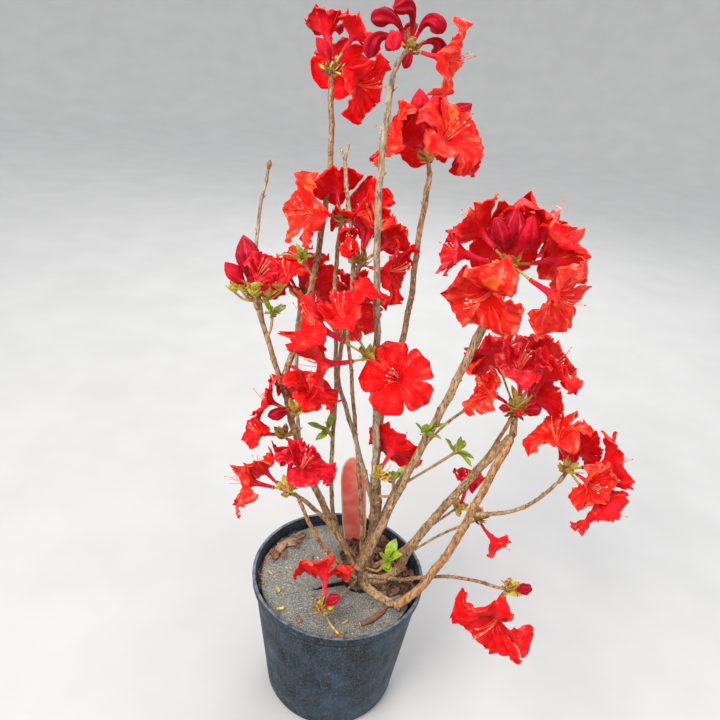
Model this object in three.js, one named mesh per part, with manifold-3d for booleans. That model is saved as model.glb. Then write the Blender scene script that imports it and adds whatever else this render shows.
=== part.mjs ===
// A deciduous azalea in flower, in its black nursery pot. Millimetres, +Z up, the origin at the
// middle of the pot's flat underside, +X to the right and +Y to the back as the shrub is seen.
import * as THREE from "three";
import { mergeVertices } from "three/addons/utils/BufferGeometryUtils.js";
import Module from "manifold-3d";

const wasm = await Module();
wasm.setup();
const Solid = wasm.Manifold;

// Clearance kept wherever two pieces touch
const GAP = 0.3;

// Pot
const POT_HEIGHT = 195;
const POT_RIM_RADIUS = 112;
const POT_BASE_RADIUS = 88;
const POT_WALL = 1.8;
const POT_FLOOR = 2.5;
const POT_LIP_HEIGHT = 12;
const POT_LIP_DEPTH = 2.4;
const POT_FOOT_HEIGHT = 5;
const POT_FOOT_STEP = 2;
const POT_EDGE = 1;
const POT_SIDES = 36;

// Filling, and the felt disc that keeps weeds down
const FILL_TOP = 177;
const FILL_EDGE = 2;
const FELT_RADIUS = 101;
const FELT_THICKNESS = 3;
const FELT_HOLE_RADIUS = 24;
const FELT_CUT_FROM = -14;
const FELT_CUT_TO = 82;
const FELT_SLIT_END = [-34, -27];
const FELT_SLIT_WIDTH = 9;
const FELT_SIDES = 34;
const FELT_HOLE_SIDES = 16;
const CUT_DEPTH = 20;

// Bark chips on the filling: most lie in the felt's cut and every fourth one by its left edge
const CHIP_COUNT = 34;
const CHIP_SEED = 7;
const CHIP_LENGTH = [16, 30];
const CHIP_WIDTH_SHARE = 0.45;
const CHIP_THICKNESS = [4, 6];
const CHIP_CUT_TURN = [-8, 78];
const CHIP_REACH = [38, 92];
const CHIP_EDGE_TURN = [140, 190];
const CHIP_EDGE_REACH = [98, 102];
const CHIP_LIFT = [-2, 3];
const CHIP_RISE = [-14, 22];
const CHIP_ROLL = 0.6;

// Plain stick-in label
const LABEL_WIDTH = 34;
const LABEL_HEIGHT = 168;
const LABEL_ARCH = 43;
const LABEL_ARCH_SIDES = 6;
const LABEL_THICKNESS = 1;
const LABEL_FOOT = [21, 75, 164];
const LABEL_LEAN_BACK = -4;
const LABEL_LEAN_LEFT = 6;
const LABEL_TURN = 8;
const LABEL_FOOT_SHARE = 0.8;
const LABEL_WAIST = 50;

// Woody crown that all the stems spring from
const CROWN_CENTRE = [30, 0];
const CROWN_FOOT_RADIUS = 18;
const CROWN_TOP_RADIUS = 9.5;
const CROWN_TOP = 216;
const CROWN_SUNK = 8;
const CROWN_SIDES = 11;
const CROWN_STEP = 12;
const CROWN_WAVER = 0.13;
const CROWN_BEND_HEIGHT = 14;
const CROWN_BEND = 1;
const CROWN_LEAN = [3, 2];
const CROWN_SEED = 3;

// Corolla of a flower of size 1: a tube that flares into five lobes
const LOBES = 5;
const TUBE_LENGTH = 19;
const FLARE_RADIUS = 5.6;
const THROAT_DEPTH = 14;
const NOTCH_RADIUS = 15;
const NOTCH_HEIGHT = 31;
const LOBE_REACH = 42;
const LOBE_WIDE_AT = 29;
const LOBE_HALF_WIDTH = 17;
const LOBE_HEIGHT = 36;
const LOBE_WAVE = 4;
const LOBE_TIP_DROP = 3;
const PETAL_THICKNESS = 1.4;
const CLOSING_RISE = 0.9;
const STALK_LENGTH = 11;
const STALK_ROOT = 4;

// Flowers that share a truss keep this far from the plane between them, and a lobe pushed back
// by that plane stands up by this share of what it loses
const WALL_MARGIN = 1.5;
const WALL_LIFT = 0.6;

// Flower bud, scale at the foot of a truss, and young leaf
const BUD_LENGTH = 34;
const BUD_RADIUS = 5.5;
const BUD_NECK_RADIUS = 1.9;
const BUD_STALK_LENGTH = 8;
const BUD_NECK_LENGTH = 6;
const BUD_WIDE_AT = 0.62;
const BUD_SIDES = 5;
const SCALE_COUNT = 3;
const SCALE_LENGTH = [9, 14];
const LEAF_LENGTH = [18, 32];
const LEAF_WIDTH_SHARE = 0.32;
const LEAF_THICKNESS = 0.9;
const BLADE_WIDE_AT = 0.45;

// Leaves and scales stand round their twig by the golden angle, leaning forwards
const LEAF_TURN = 137.5;
const LEAF_TURN_SWING = 25;
const LEAF_RISE = [-10, 70];
const LEAF_LEAN = 0.5;
const LEAF_FOOT_BACK = [0, 3];
const BARE_TUFT_SCALES = 2;

// How far a truss may reach from its middle, and the twig that carries it
const TRUSS_REACH = 125;
const TRUSS_TWIG_RADIUS = 2.6;
const THIN_TWIG_RADIUS = 1.8;
const TWIG_TAPER = 0.85;
const TWIG_PAST = 2;
const TWIG_STEP = 35;
const TWIG_SIDES = 5;

const LIMB_STEP = 70;
const LIMB_SIDES = 6;
const LIMB_WAVER = 0.07;

// Limbs: the points that each passes on its way from foot to tip, and its radius at both
const LIMBS = {
  trunk: { path: [[33, 2, 208], [41, 2, 262], [35, 8, 352]], radius: [8.5, 6.5] },
  stem_tall: {
    path: [[35, 8, 346], [20, 8, 520], [6, 0, 700], [9, 0, 802]],
    radius: [4.4, 2.8],
  },
  stem_right_upper: {
    path: [[28, -4, 206], [40, -14, 255], [65, -14, 348], [109, -22, 505], [138, -30, 630]],
    radius: [5, 4],
  },
  stem_right_middle: {
    path: [[36, -5, 187], [60, -5, 189], [78, 2, 202], [90, 5, 238], [156, 8, 365], [188, 3, 426]],
    radius: [5.6, 4.6],
  },
  stem_front_foot: { path: [[34, -8, 186], [46, -27, 187], [76, -45, 187]], radius: [5.4, 5] },
  stem_front: {
    path: [[78, -46, 187], [102, -44, 218], [133, -38, 284], [167, -22, 385], [185, -8, 431]],
    radius: [5, 4.4],
  },
  stem_left: {
    path: [[24, 5, 200], [-16, 15, 262], [-58, 25, 359], [-87, 32, 452]],
    radius: [4.6, 3.9],
  },
  stem_left_fork: { path: [[-87, 32, 449], [-107, 36, 508], [-118, 40, 540]], radius: [3.2, 2.8] },
  stem_inner: {
    path: [[-86, 33, 449], [-63, 80, 552], [-52, 130, 688], [-58, 150, 774]],
    radius: [3.8, 3],
  },
  stem_left_bare: { path: [[-113, 40, 524], [-124, 62, 615], [-114, 75, 690]], radius: [2.2, 1.7] },
  stem_back_thin: {
    path: [[22, 10, 190], [-14, 30, 268], [-24, 60, 441], [-34, 75, 567], [-33, 80, 628]],
    radius: [2.9, 2.3],
  },
  stem_dead_top: {
    path: [[37, 5, 300], [0, 28, 403], [-21, 42, 462], [-14, 55, 580], [-34, 88, 706]],
    radius: [3, 2.1],
  },
  stem_back_right: {
    path: [[35, 10, 338], [36, 40, 428], [54, 76, 520], [58, 105, 626], [63, 120, 690]],
    radius: [3.9, 3.2],
  },
  stem_middle: { path: [[35, 2, 338], [30, -3, 420], [14, -6, 502]], radius: [3, 2.4] },
  stem_far_left: {
    path: [[24, 8, 196], [-17, 45, 240], [-63, 75, 323], [-80, 112, 470], [-79, 120, 512]],
    radius: [3, 2.4],
  },
  stem_far_middle: {
    path: [[30, 8, 200], [24, 26, 262], [10, 52, 350], [-16, 129, 478]],
    radius: [3, 2.4],
  },
  stem_far_right: {
    path: [[36, 8, 200], [53, 30, 276], [108, 70, 395], [145, 90, 500], [180, 104, 590]],
    radius: [3.4, 2.8],
  },
  stem_far_low: {
    path: [[40, 6, 194], [86, 34, 210], [130, 60, 258], [190, 96, 338], [225, 114, 426]],
    radius: [3.2, 2.5],
  },
  twig_left_upper: { path: [[22, -4, 205], [-16, -12, 280], [-60, -38, 345]], radius: [3, 2.4] },
  twig_left_lower: { path: [[24, -8, 190], [-20, -25, 255], [-54, -43, 342]], radius: [2.8, 2.2] },
  twig_right: {
    path: [[150, -31, 332], [190, -39, 347], [222, -42, 374], [238, -40, 398]],
    radius: [2.5, 2],
  },
  twig_right_low: {
    path: [[38, -9, 197], [81, -14, 200], [112, -25, 220], [150, -46, 246], [190, -80, 268]],
    radius: [2.5, 1.9],
  },
};

// Trusses: the path of each one's own stem, from the limb that carries it to its middle, and
// where its flowers and buds point, as degrees round from +X, degrees up, size, stalk length and
// how far they are open
const TRUSSES = {
  flowers_top: {
    path: [[9, 0, 798], [13, 0, 808], [22, 0, 820]],
    flowers: [[-15, -10, 0.8]],
    buds: [[-110, 84, 1.25], [-160, 52, 1.2], [-30, 62, 1.1], [20, 20, 1], [-170, 18, 1.25],
      [-125, 22, 1.15], [115, 20, 1], [-90, -15, 0.7], [80, 50, 1]],
    seed: 11,
  },
  flowers_top_left: {
    path: [[-58, 150, 771], [-58, 150, 786]],
    flowers: [[115, 60, 1, 11, 0.55], [35, 55, 0.8, 22], [-30, -15, 0.95, 14], [80, 10, 0.9]],
    buds: [[170, 66, 0.9]],
    seed: 12,
  },
  flowers_right_upper: {
    path: [[138, -30, 627], [139, -30, 642]],
    flowers: [[-125, -25, 1.1, 20], [-170, 8, 0.95, 20, 0.55], [-45, -16, 1.05, 26], [0, 50, 1, 16],
      [15, 5, 1, 20], [140, 30, 0.9, 19], [85, 8, 1]],
    buds: [[-150, 60, 1.4], [-115, 74, 1.5], [-60, 66, 1.4], [60, 68, 1.25], [100, 82, 1.3]],
    seed: 21,
  },
  flowers_right_middle: {
    path: [[187, -2, 426], [186, 0, 440], [185, 0, 460]],
    flowers: [[115, 80, 1.1, 20], [175, 30, 0.85, 15], [25, 55, 1, 26], [120, 45, 0.95, 44],
      [30, 15, 0.85]],
    buds: [[-45, 30, 0.8], [-100, 25, 0.5], [-160, 20, 0.5]],
    leaves: 4,
    seed: 22,
  },
  flowers_centre_left: {
    path: [[14, -6, 499], [13, -8, 515]],
    flowers: [[-175, 30, 1.2, 34], [180, 55, 1.1, 24], [-170, -10, 1.15, 18]],
    seed: 31,
  },
  flowers_centre: {
    path: [[25, 8, 455], [38, 16, 463], [44, 18, 474]],
    flowers: [[-88, 34, 1]],
    seed: 32,
  },
  flowers_trunk: {
    path: [[37, 0, 332], [37, -14, 350], [37, -26, 371]],
    flowers: [[64, 26, 0.9]],
    seed: 36,
  },
  flowers_back_left: {
    path: [[-33, 80, 625], [-32, 80, 643]],
    flowers: [[-150, 10, 1], [110, 45, 0.85], [-70, -25, 0.5, 9, 0.55], [45, 10, 0.9]],
    seed: 141,
  },
  flowers_back_middle: {
    path: [[-14, 55, 576], [-6, 58, 597]],
    flowers: [[90, 66, 0.95, 16], [50, 70, 0.95, 14], [-20, 2, 0.9], [35, 30, 0.85, 18],
      [-130, 45, 0.5, 9, 0.55]],
    seed: 242,
  },
  flowers_left: {
    path: [[-118, 40, 537], [-124, 40, 558]],
    flowers: [[-50, 60, 0.85, 6, 0.55]],
    buds: [[130, 74, 1.65], [-165, 48, 1.15], [-25, 35, 0.5]],
    leaves: 9,
    seed: 351,
  },
  flowers_left_inner: {
    path: [[-71, 28, 402], [-70, 12, 416], [-66, 5, 429]],
    flowers: [[-10, 65, 0.85], [180, 20, 0.75], [95, 30, 0.7]],
    buds: [[-140, 12, 0.9]],
    seed: 52,
  },
  flowers_left_under: {
    path: [[-61, 26, 369], [-72, 18, 377], [-80, 15, 388]],
    flowers: [[-150, 20, 0.8, 6, 0.6]],
    seed: 153,
  },
  flowers_left_low: {
    path: [[-57, -39, 342], [-66, -41, 350]],
    flowers: [[180, 10, 1, 16], [15, 65, 0.95], [90, 45, 0.9], [155, 25, 0.75, 15]],
    seed: 61,
  },
  flowers_front: {
    path: [[28, -8, 190], [0, -50, 192], [-15, -80, 209]],
    flowers: [[92, 30, 1, 11, 0.75]],
    buds: [[-20, 60, 0.85]],
    seed: 62,
  },
  flowers_right: {
    path: [[238, -40, 395], [245, -40, 415]],
    flowers: [[160, 60, 0.95, 14], [0, 15, 0.95, 14], [-35, -30, 1, 19], [-60, 5, 0.8],
      [60, 15, 0.8]],
    seed: 71,
  },
  flowers_right_low: {
    path: [[188, -79, 268], [200, -82, 270]],
    flowers: [[-120, -15, 1.15, 14]],
    buds: [[-45, 40, 0.8]],
    leaves: 2,
    seed: 72,
  },
  flowers_back_right: {
    path: [[63, 120, 687], [58, 120, 708]],
    flowers: [[-56, 42, 1.05, 14], [-175, 25, 0.95, 14], [20, 18, 0.9], [95, 20, 0.95]],
    buds: [[140, 70, 1.4], [60, 80, 1.4], [10, 62, 1.4]],
    seed: 81,
  },
  flowers_twig_orange: {
    path: [[79, -15, 399], [110, 10, 428], [156, 42, 450]],
    flowers: [[100, 50, 0.8]],
    seed: 91,
  },
  flowers_twig_inner: {
    path: [[105, 7, 267], [128, 26, 274], [150, 42, 282]],
    flowers: [[50, 75, 0.9, 6, 0.6]],
    seed: 92,
  },
  flowers_twig_outer: {
    path: [[87, 5, 226], [125, 0, 269], [167, -8, 307]],
    flowers: [[-40, -35, 0.75, 6, 0.55]],
    seed: 93,
  },
  flowers_far_left: {
    path: [[-79, 120, 509], [-80, 122, 527]],
    flowers: [[150, 20, 0.95], [95, 50, 0.95], [60, 5, 0.9], [-160, 60, 0.8]],
    buds: [[60, 76, 1]],
    seed: 101,
  },
  flowers_far_middle: {
    path: [[-16, 129, 475], [-18, 132, 494]],
    flowers: [[100, 15, 1], [65, 40, 1], [80, -5, 0.95]],
    buds: [[-60, 76, 1], [170, 60, 1]],
    seed: 102,
  },
  flowers_far_right: {
    path: [[180, 104, 587], [183, 106, 606]],
    flowers: [[75, 30, 1], [25, 12, 1], [125, 15, 1], [100, 70, 0.95]],
    buds: [[0, 66, 1.1], [180, 64, 1.1]],
    seed: 103,
  },
  flowers_far_low: {
    path: [[225, 114, 423], [228, 116, 442]],
    flowers: [[70, 20, 1], [20, 35, 0.95], [120, 45, 0.95]],
    buds: [[-60, 60, 0.9]],
    seed: 104,
  },
};

// Leaf tufts: the path of each one's twig from the limb that carries it, and its leaves
const TUFTS = {
  leaves_right_stem: { path: [[86, -17, 422], [82, -24, 434]], leaves: 4, seed: 201 },
  leaves_right_twig: { path: [[67, -13, 352], [99, 2, 369], [128, 8, 392]], leaves: 5, seed: 202 },
  leaves_trunk: { path: [[38, 4, 318], [56, -8, 331], [56, -10, 356]], leaves: 3, seed: 203 },
  leaves_crown: { path: [[33, -3, 206], [50, -24, 222], [58, -30, 244]], leaves: 6, seed: 204 },
  leaves_back_stem: { path: [[-20, 47, 365], [-29, 40, 383]], leaves: 3, seed: 205 },
  leaves_inner_stem: { path: [[-62, 86, 568], [-77, 88, 587]], leaves: 5, seed: 206 },
  leaves_left_fork: { path: [[-106, 36, 506], [-101, 30, 520], [-99, 28, 540]], leaves: 5, seed: 207 },
};

const COLOURS = {
  pot: [0x23272b, 0.55],
  filling: [0x4a3226, 0.95],
  felt: [0x8b8d8a, 0.95],
  label: [0xd8453f, 0.5],
  wood: [0x8c7458, 0.85],
  flowers: [0xe8301f, 0.6],
  leaves: [0x8fae3a, 0.6],
};

// The same row of numbers between 0 and 1 for the same seed
function seeded(seed) {
  let state = seed * 2654435761;
  return () => {
    state = (state + 0x6d2b79f5) | 0;
    let t = Math.imul(state ^ (state >>> 15), 1 | state);
    t = (t + Math.imul(t ^ (t >>> 7), 61 | t)) ^ t;
    return ((t ^ (t >>> 14)) >>> 0) / 4294967296;
  };
}

const vec = (p) => new THREE.Vector3(...p);
const degrees = THREE.MathUtils.degToRad;
const between = (rng, [low, high]) => low + (high - low) * rng();
const swing = (rng, most) => (2 * rng() - 1) * most;

// Unit vector at an angle round from +X and an angle up
function heading(turn, rise) {
  const flat = Math.cos(degrees(rise));
  return new THREE.Vector3(
    flat * Math.cos(degrees(turn)),
    flat * Math.sin(degrees(turn)),
    Math.sin(degrees(rise)),
  );
}

// A closed geometry as a solid
function solidOf(geometry) {
  const bare = geometry.clone();
  bare.deleteAttribute("normal");
  bare.deleteAttribute("uv");
  const merged = mergeVertices(bare, 1e-3);
  return new Solid(
    new wasm.Mesh({
      numProp: 3,
      vertProperties: merged.attributes.position.array,
      triVerts: new Uint32Array(merged.index.array),
    }),
  );
}

function geometryOf(solid) {
  const mesh = solid.getMesh();
  const geometry = new THREE.BufferGeometry();
  geometry.setAttribute("position", new THREE.BufferAttribute(mesh.vertProperties, 3));
  geometry.setIndex(new THREE.BufferAttribute(mesh.triVerts, 1));
  geometry.computeVertexNormals();
  return geometry;
}

function indexed(points, faces) {
  const geometry = new THREE.BufferGeometry();
  geometry.setAttribute("position", new THREE.Float32BufferAttribute(points.flat(), 3));
  geometry.setIndex(faces.flat());
  return geometry;
}

// The turn that faces +Z in a direction, after a roll about it
function facing(direction, roll) {
  const ahead = new THREE.Vector3(0, 0, 1);
  const turn = new THREE.Quaternion().setFromUnitVectors(ahead, direction);
  return turn.multiply(new THREE.Quaternion().setFromAxisAngle(ahead, roll));
}

// Stands a geometry made along +Z at a point, facing a direction, rolled about its own axis
function placed(geometry, at, direction, roll = 0) {
  const turn = facing(direction, roll);
  return geometry.applyMatrix4(new THREE.Matrix4().compose(at, turn, new THREE.Vector3(1, 1, 1)));
}

// Tapering tube along a smooth curve, with flat ends, grown by a margin all over
function limb(path, radius, { sides, rng = null, waver = 0, step = LIMB_STEP, margin = 0 }) {
  const curve = new THREE.CatmullRomCurve3(path.map(vec), false, "centripetal");
  const steps = Math.max(path.length - 1, Math.round(curve.getLength() / step) + 1);
  const frames = curve.computeFrenetFrames(steps, false);
  const points = [];
  const faces = [];
  for (let i = 0; i <= steps; i++) {
    const share = i / steps;
    const centre = curve.getPointAt(share);
    const end = i === 0 ? -margin : i === steps ? margin : 0;
    centre.addScaledVector(frames.tangents[i], end);
    for (let j = 0; j < sides; j++) {
      const angle = (2 * Math.PI * j) / sides;
      const thick = THREE.MathUtils.lerp(radius[0], radius[1], share);
      const reach = thick * (1 + (rng ? swing(rng, waver) : 0)) + margin;
      const point = centre
        .clone()
        .addScaledVector(frames.normals[i], reach * Math.cos(angle))
        .addScaledVector(frames.binormals[i], reach * Math.sin(angle));
      points.push(point.toArray());
      if (i === steps) continue;
      const a = i * sides + j;
      const b = i * sides + ((j + 1) % sides);
      faces.push([a, b, b + sides], [a, b + sides, a + sides]);
    }
  }
  const last = steps * sides;
  for (let j = 1; j < sides - 1; j++) {
    faces.push([0, j + 1, j], [last, last + j, last + j + 1]);
  }
  return solidOf(indexed(points, faces));
}

// Flat pointed blade of eight faces, thickest in the middle
function blade(length, width, thickness) {
  const widest = length * BLADE_WIDE_AT;
  const points = [
    [0, 0, 0],
    [width / 2, 0, widest],
    [0, thickness / 2, widest],
    [-width / 2, 0, widest],
    [0, -thickness / 2, widest],
    [0, 0, length],
  ];
  const faces = [];
  for (let j = 1; j <= 4; j++) {
    const next = (j % 4) + 1;
    faces.push([0, next, j], [5, j, next]);
  }
  return indexed(points, faces);
}

// Flower along +Z on a stalk from the middle of its truss, which is the origin. Lobes left out of
// kept end at the throat, open below 1 draws the lobes together, and walls are the unit normals
// of planes through the origin that the flower stays in front of
function flowerShape({ size, stalk, open, rng, kept, walls }) {
  const points = [];
  const faces = [];
  const add = (radius, angle, side, height) => {
    const x = (radius * Math.cos(angle) - side * Math.sin(angle)) * size;
    const y = (radius * Math.sin(angle) + side * Math.cos(angle)) * size;
    const point = new THREE.Vector3(x, y, stalk + height * size);
    for (const wall of walls) {
      const ahead = wall.z * point.z;
      const aside = wall.x * point.x + wall.y * point.y;
      if (aside === 0 || ahead + aside >= WALL_MARGIN) continue;
      const share = Math.max(0, (WALL_MARGIN - ahead) / aside);
      point.z += Math.hypot(point.x, point.y) * (1 - share) * WALL_LIFT;
      point.x *= share;
      point.y *= share;
    }
    points.push(point.toArray());
    return points.length - 1;
  };
  // A point behind a lobe's face, at a petal's thickness from the corner that its sides share
  const addBehind = (corner, round) => {
    const at = vec(points[corner]);
    const spokes = round.map((i) => vec(points[i]).sub(at));
    const normal = new THREE.Vector3();
    spokes.slice(1).forEach((spoke, i) => normal.add(spokes[i].clone().cross(spoke)));
    points.push(at.addScaledVector(normal.normalize(), -PETAL_THICKNESS).toArray());
    return points.length - 1;
  };
  const step = (2 * Math.PI) / LOBES;
  const rise = (radius) => (1 - open) * (radius - FLARE_RADIUS) * CLOSING_RISE;
  const foot = add(0, 0, 0, -(stalk + STALK_ROOT) / size);
  const throat = add(0, 0, 0, THROAT_DEPTH);
  const lobes = kept.map((whole, i) => {
    const angle = i * step;
    const curl = swing(rng, LOBE_WAVE);
    const wave = swing(rng, LOBE_WAVE);
    const lean = swing(rng, LOBE_WAVE);
    const throatHeight = NOTCH_HEIGHT + rise(NOTCH_RADIUS);
    const wideHeight = LOBE_HEIGHT + rise(LOBE_WIDE_AT);
    const tipHeight = LOBE_HEIGHT - LOBE_TIP_DROP + rise(LOBE_REACH) + curl;
    const half = LOBE_HALF_WIDTH * open;
    return {
      whole,
      ring: add(FLARE_RADIUS, angle, 0, TUBE_LENGTH),
      notch: add(NOTCH_RADIUS * open, angle - step / 2, 0, throatHeight),
      inner: add(NOTCH_RADIUS * open, angle, 0, throatHeight),
      left: add(LOBE_WIDE_AT * open, angle, -half, wideHeight + wave),
      right: add(LOBE_WIDE_AT * open, angle, half, wideHeight - wave),
      tip: add(LOBE_REACH * open, angle, lean, tipHeight),
    };
  });
  lobes.forEach((lobe, i) => {
    const { whole, inner, notch, left, tip, right } = lobe;
    const nextNotch = lobes[(i + 1) % LOBES].notch;
    lobe.outer = whole ? addBehind(inner, [notch, left, tip, right, nextNotch]) : inner;
  });
  lobes.forEach((lobe, i) => {
    const next = lobes[(i + 1) % LOBES];
    faces.push(
      [throat, lobe.inner, next.notch],
      [throat, next.notch, next.inner],
      [foot, next.ring, lobe.ring],
      [lobe.ring, next.notch, lobe.outer],
      [lobe.ring, next.ring, next.notch],
      [next.ring, next.outer, next.notch],
    );
    if (!lobe.whole) return;
    faces.push(
      [lobe.inner, lobe.notch, lobe.left],
      [lobe.inner, lobe.left, lobe.tip],
      [lobe.inner, lobe.tip, lobe.right],
      [lobe.inner, lobe.right, next.notch],
      [lobe.outer, lobe.left, lobe.notch],
      [lobe.outer, lobe.tip, lobe.left],
      [lobe.outer, lobe.right, lobe.tip],
      [lobe.outer, next.notch, lobe.right],
    );
  });
  return indexed(points, faces);
}

// Closed bud along +Z on its stalk from the origin, widest past the middle
function budShape(size) {
  const profile = [
    [0, -STALK_ROOT],
    [BUD_NECK_RADIUS * size, BUD_STALK_LENGTH + BUD_NECK_LENGTH],
    [BUD_RADIUS * size, BUD_STALK_LENGTH + BUD_LENGTH * size * BUD_WIDE_AT],
    [0, BUD_STALK_LENGTH + BUD_LENGTH * size],
  ];
  const outline = profile.map(([radius, height]) => new THREE.Vector2(radius, height));
  return new THREE.LatheGeometry(outline, BUD_SIDES).rotateX(Math.PI / 2);
}

const reaches = (box, other) =>
  [0, 1, 2].every((k) => box.min[k] < other.max[k] && other.min[k] < box.max[k]);

// True if a solid touches none of the others
function isClear(solid, others) {
  const box = solid.boundingBox();
  return others.every(
    (other) => !reaches(box, other.boundingBox()) || solid.intersect(other).isEmpty(),
  );
}

// The largest of a solid's separate bodies
function largest(solid) {
  return solid.decompose().reduce((a, b) => (a.volume() > b.volume() ? a : b));
}

function cutBy(solid, others) {
  const box = solid.boundingBox();
  const near = others.filter((other) => reaches(box, other.boundingBox()));
  return near.length ? largest(solid.subtract(Solid.union(near))) : solid;
}

// Pot
const potRadiusAt = (height) =>
  THREE.MathUtils.lerp(POT_BASE_RADIUS, POT_RIM_RADIUS - POT_LIP_DEPTH, height / POT_HEIGHT);

function potShell() {
  const lipFoot = POT_HEIGHT - POT_LIP_HEIGHT;
  const footRadius = POT_BASE_RADIUS - POT_FOOT_STEP;
  const footTop = POT_FOOT_HEIGHT + POT_FOOT_STEP;
  const profile = [
    [0, 0],
    [footRadius, 0],
    [footRadius, POT_FOOT_HEIGHT],
    [potRadiusAt(footTop), footTop],
    [potRadiusAt(lipFoot), lipFoot],
    [POT_RIM_RADIUS - POT_EDGE, lipFoot + POT_EDGE],
    [POT_RIM_RADIUS, POT_HEIGHT - POT_EDGE],
    [POT_RIM_RADIUS - POT_EDGE, POT_HEIGHT],
    [potRadiusAt(POT_HEIGHT) - POT_WALL, POT_HEIGHT],
    [potRadiusAt(footTop) - POT_WALL, footTop],
    [footRadius - POT_WALL, POT_FLOOR],
    [0, POT_FLOOR],
  ];
  return turned(profile);
}

function turned(profile) {
  const outline = profile.map(([radius, height]) => new THREE.Vector2(radius, height));
  return solidOf(new THREE.LatheGeometry(outline, POT_SIDES).rotateX(Math.PI / 2));
}

// Potting mix inside the pot, with bark chips on it where the felt leaves it bare
function filling(obstacles, pockets) {
  const inside = (height) => potRadiusAt(height) - POT_WALL - GAP;
  const low = POT_FOOT_HEIGHT + POT_FOOT_STEP;
  const edge = FILL_TOP - FILL_EDGE;
  const profile = [
    [0, POT_FLOOR + GAP],
    [POT_BASE_RADIUS - POT_FOOT_STEP - POT_WALL - 2 * GAP, POT_FLOOR + GAP],
    [inside(low) - GAP, low],
    [inside(edge), edge],
    [inside(edge) - 2 * FILL_EDGE, FILL_TOP],
    [0, FILL_TOP],
  ];
  const rng = seeded(CHIP_SEED);
  const pieces = [turned(profile)];
  for (let i = 0; i < CHIP_COUNT; i++) {
    const inCut = i % 4 !== 3;
    const turn = between(rng, inCut ? CHIP_CUT_TURN : CHIP_EDGE_TURN);
    const reach = between(rng, inCut ? CHIP_REACH : CHIP_EDGE_REACH);
    const length = between(rng, CHIP_LENGTH);
    const spot = heading(turn, 0).multiplyScalar(reach);
    spot.z = FILL_TOP + between(rng, CHIP_LIFT);
    const lie = heading(between(rng, [0, 360]), between(rng, CHIP_RISE));
    spot.addScaledVector(lie, -length / 2);
    const chip = blade(length, length * CHIP_WIDTH_SHARE, between(rng, CHIP_THICKNESS));
    const solid = solidOf(placed(chip, spot, lie, swing(rng, CHIP_ROLL)));
    if (isClear(solid, obstacles)) pieces.push(solid);
  }
  return largest(Solid.union(pieces).subtract(Solid.union(pockets)));
}

// Disc with a wedge cut out of it, a slit towards the front left and a slot for the label
function feltDisc(slot) {
  const low = FILL_TOP + GAP;
  const shape = new THREE.Shape();
  const from = degrees(FELT_CUT_TO);
  const to = degrees(FELT_CUT_FROM + 360);
  shape.moveTo(...CROWN_CENTRE);
  shape.lineTo(FELT_RADIUS * Math.cos(from), FELT_RADIUS * Math.sin(from));
  shape.absarc(0, 0, FELT_RADIUS, from, to, false);
  shape.closePath();
  const disc = new THREE.ExtrudeGeometry(shape, {
    depth: FELT_THICKNESS,
    bevelEnabled: false,
    curveSegments: FELT_SIDES,
  }).translate(0, 0, low);
  const [x, y] = CROWN_CENTRE;
  const hole = new THREE.CylinderGeometry(
    FELT_HOLE_RADIUS,
    FELT_HOLE_RADIUS,
    CUT_DEPTH,
    FELT_HOLE_SIDES,
  );
  hole.rotateX(Math.PI / 2).translate(x, y, low);
  const end = new THREE.Vector2(...FELT_SLIT_END);
  const foot = new THREE.Vector2(...CROWN_CENTRE);
  const across = end.clone().sub(foot).normalize().rotateAround(new THREE.Vector2(), Math.PI / 2);
  const slitOutline = new THREE.Shape([
    end,
    foot.clone().addScaledVector(across, -FELT_SLIT_WIDTH / 2),
    foot.clone().addScaledVector(across, FELT_SLIT_WIDTH / 2),
  ]);
  const slit = new THREE.ExtrudeGeometry(slitOutline, { depth: CUT_DEPTH, bevelEnabled: false });
  slit.translate(0, 0, low - CUT_DEPTH / 2);
  return largest(solidOf(disc).subtract(Solid.union([solidOf(hole), solidOf(slit), slot])));
}

// Plain label with an arched top, grown by a margin for the slot that it stands in
function plantLabel(margin) {
  const half = LABEL_WIDTH / 2 + margin;
  const shoulder = LABEL_HEIGHT - LABEL_ARCH;
  const shape = new THREE.Shape();
  shape.moveTo(-half * LABEL_FOOT_SHARE, -margin);
  shape.lineTo(half * LABEL_FOOT_SHARE, -margin);
  shape.lineTo(half, LABEL_WAIST);
  shape.absellipse(0, shoulder, half, LABEL_ARCH, 0, Math.PI, false);
  shape.lineTo(-half, LABEL_WAIST);
  shape.closePath();
  const geometry = new THREE.ExtrudeGeometry(shape, {
    depth: LABEL_THICKNESS + 2 * margin,
    curveSegments: LABEL_ARCH_SIDES,
    bevelEnabled: false,
  });
  geometry.translate(0, 0, -LABEL_THICKNESS / 2 - margin);
  geometry.rotateX(Math.PI / 2 - degrees(LABEL_LEAN_BACK));
  geometry.rotateY(-degrees(LABEL_LEAN_LEFT));
  geometry.rotateZ(degrees(LABEL_TURN));
  geometry.translate(...LABEL_FOOT);
  return solidOf(geometry);
}

// Gnarled stump from a foot sunk in the filling to where the trunk leaves it
function crown(margin) {
  const [x, y] = CROWN_CENTRE;
  const low = FILL_TOP - CROWN_SUNK;
  const path = [
    [x, y, low],
    [x + CROWN_BEND, y, FILL_TOP + CROWN_BEND_HEIGHT],
    [x + CROWN_LEAN[0], y + CROWN_LEAN[1], CROWN_TOP],
  ];
  return limb(path, [CROWN_FOOT_RADIUS, CROWN_TOP_RADIUS], {
    sides: CROWN_SIDES,
    rng: seeded(CROWN_SEED),
    waver: CROWN_WAVER,
    step: CROWN_STEP,
    margin,
  });
}

function limbSolid(name, margin) {
  const { path, radius } = LIMBS[name];
  return limb(path, radius, {
    sides: LIMB_SIDES,
    rng: seeded(name.length + path[0][2]),
    waver: LIMB_WAVER,
    margin,
  });
}

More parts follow.
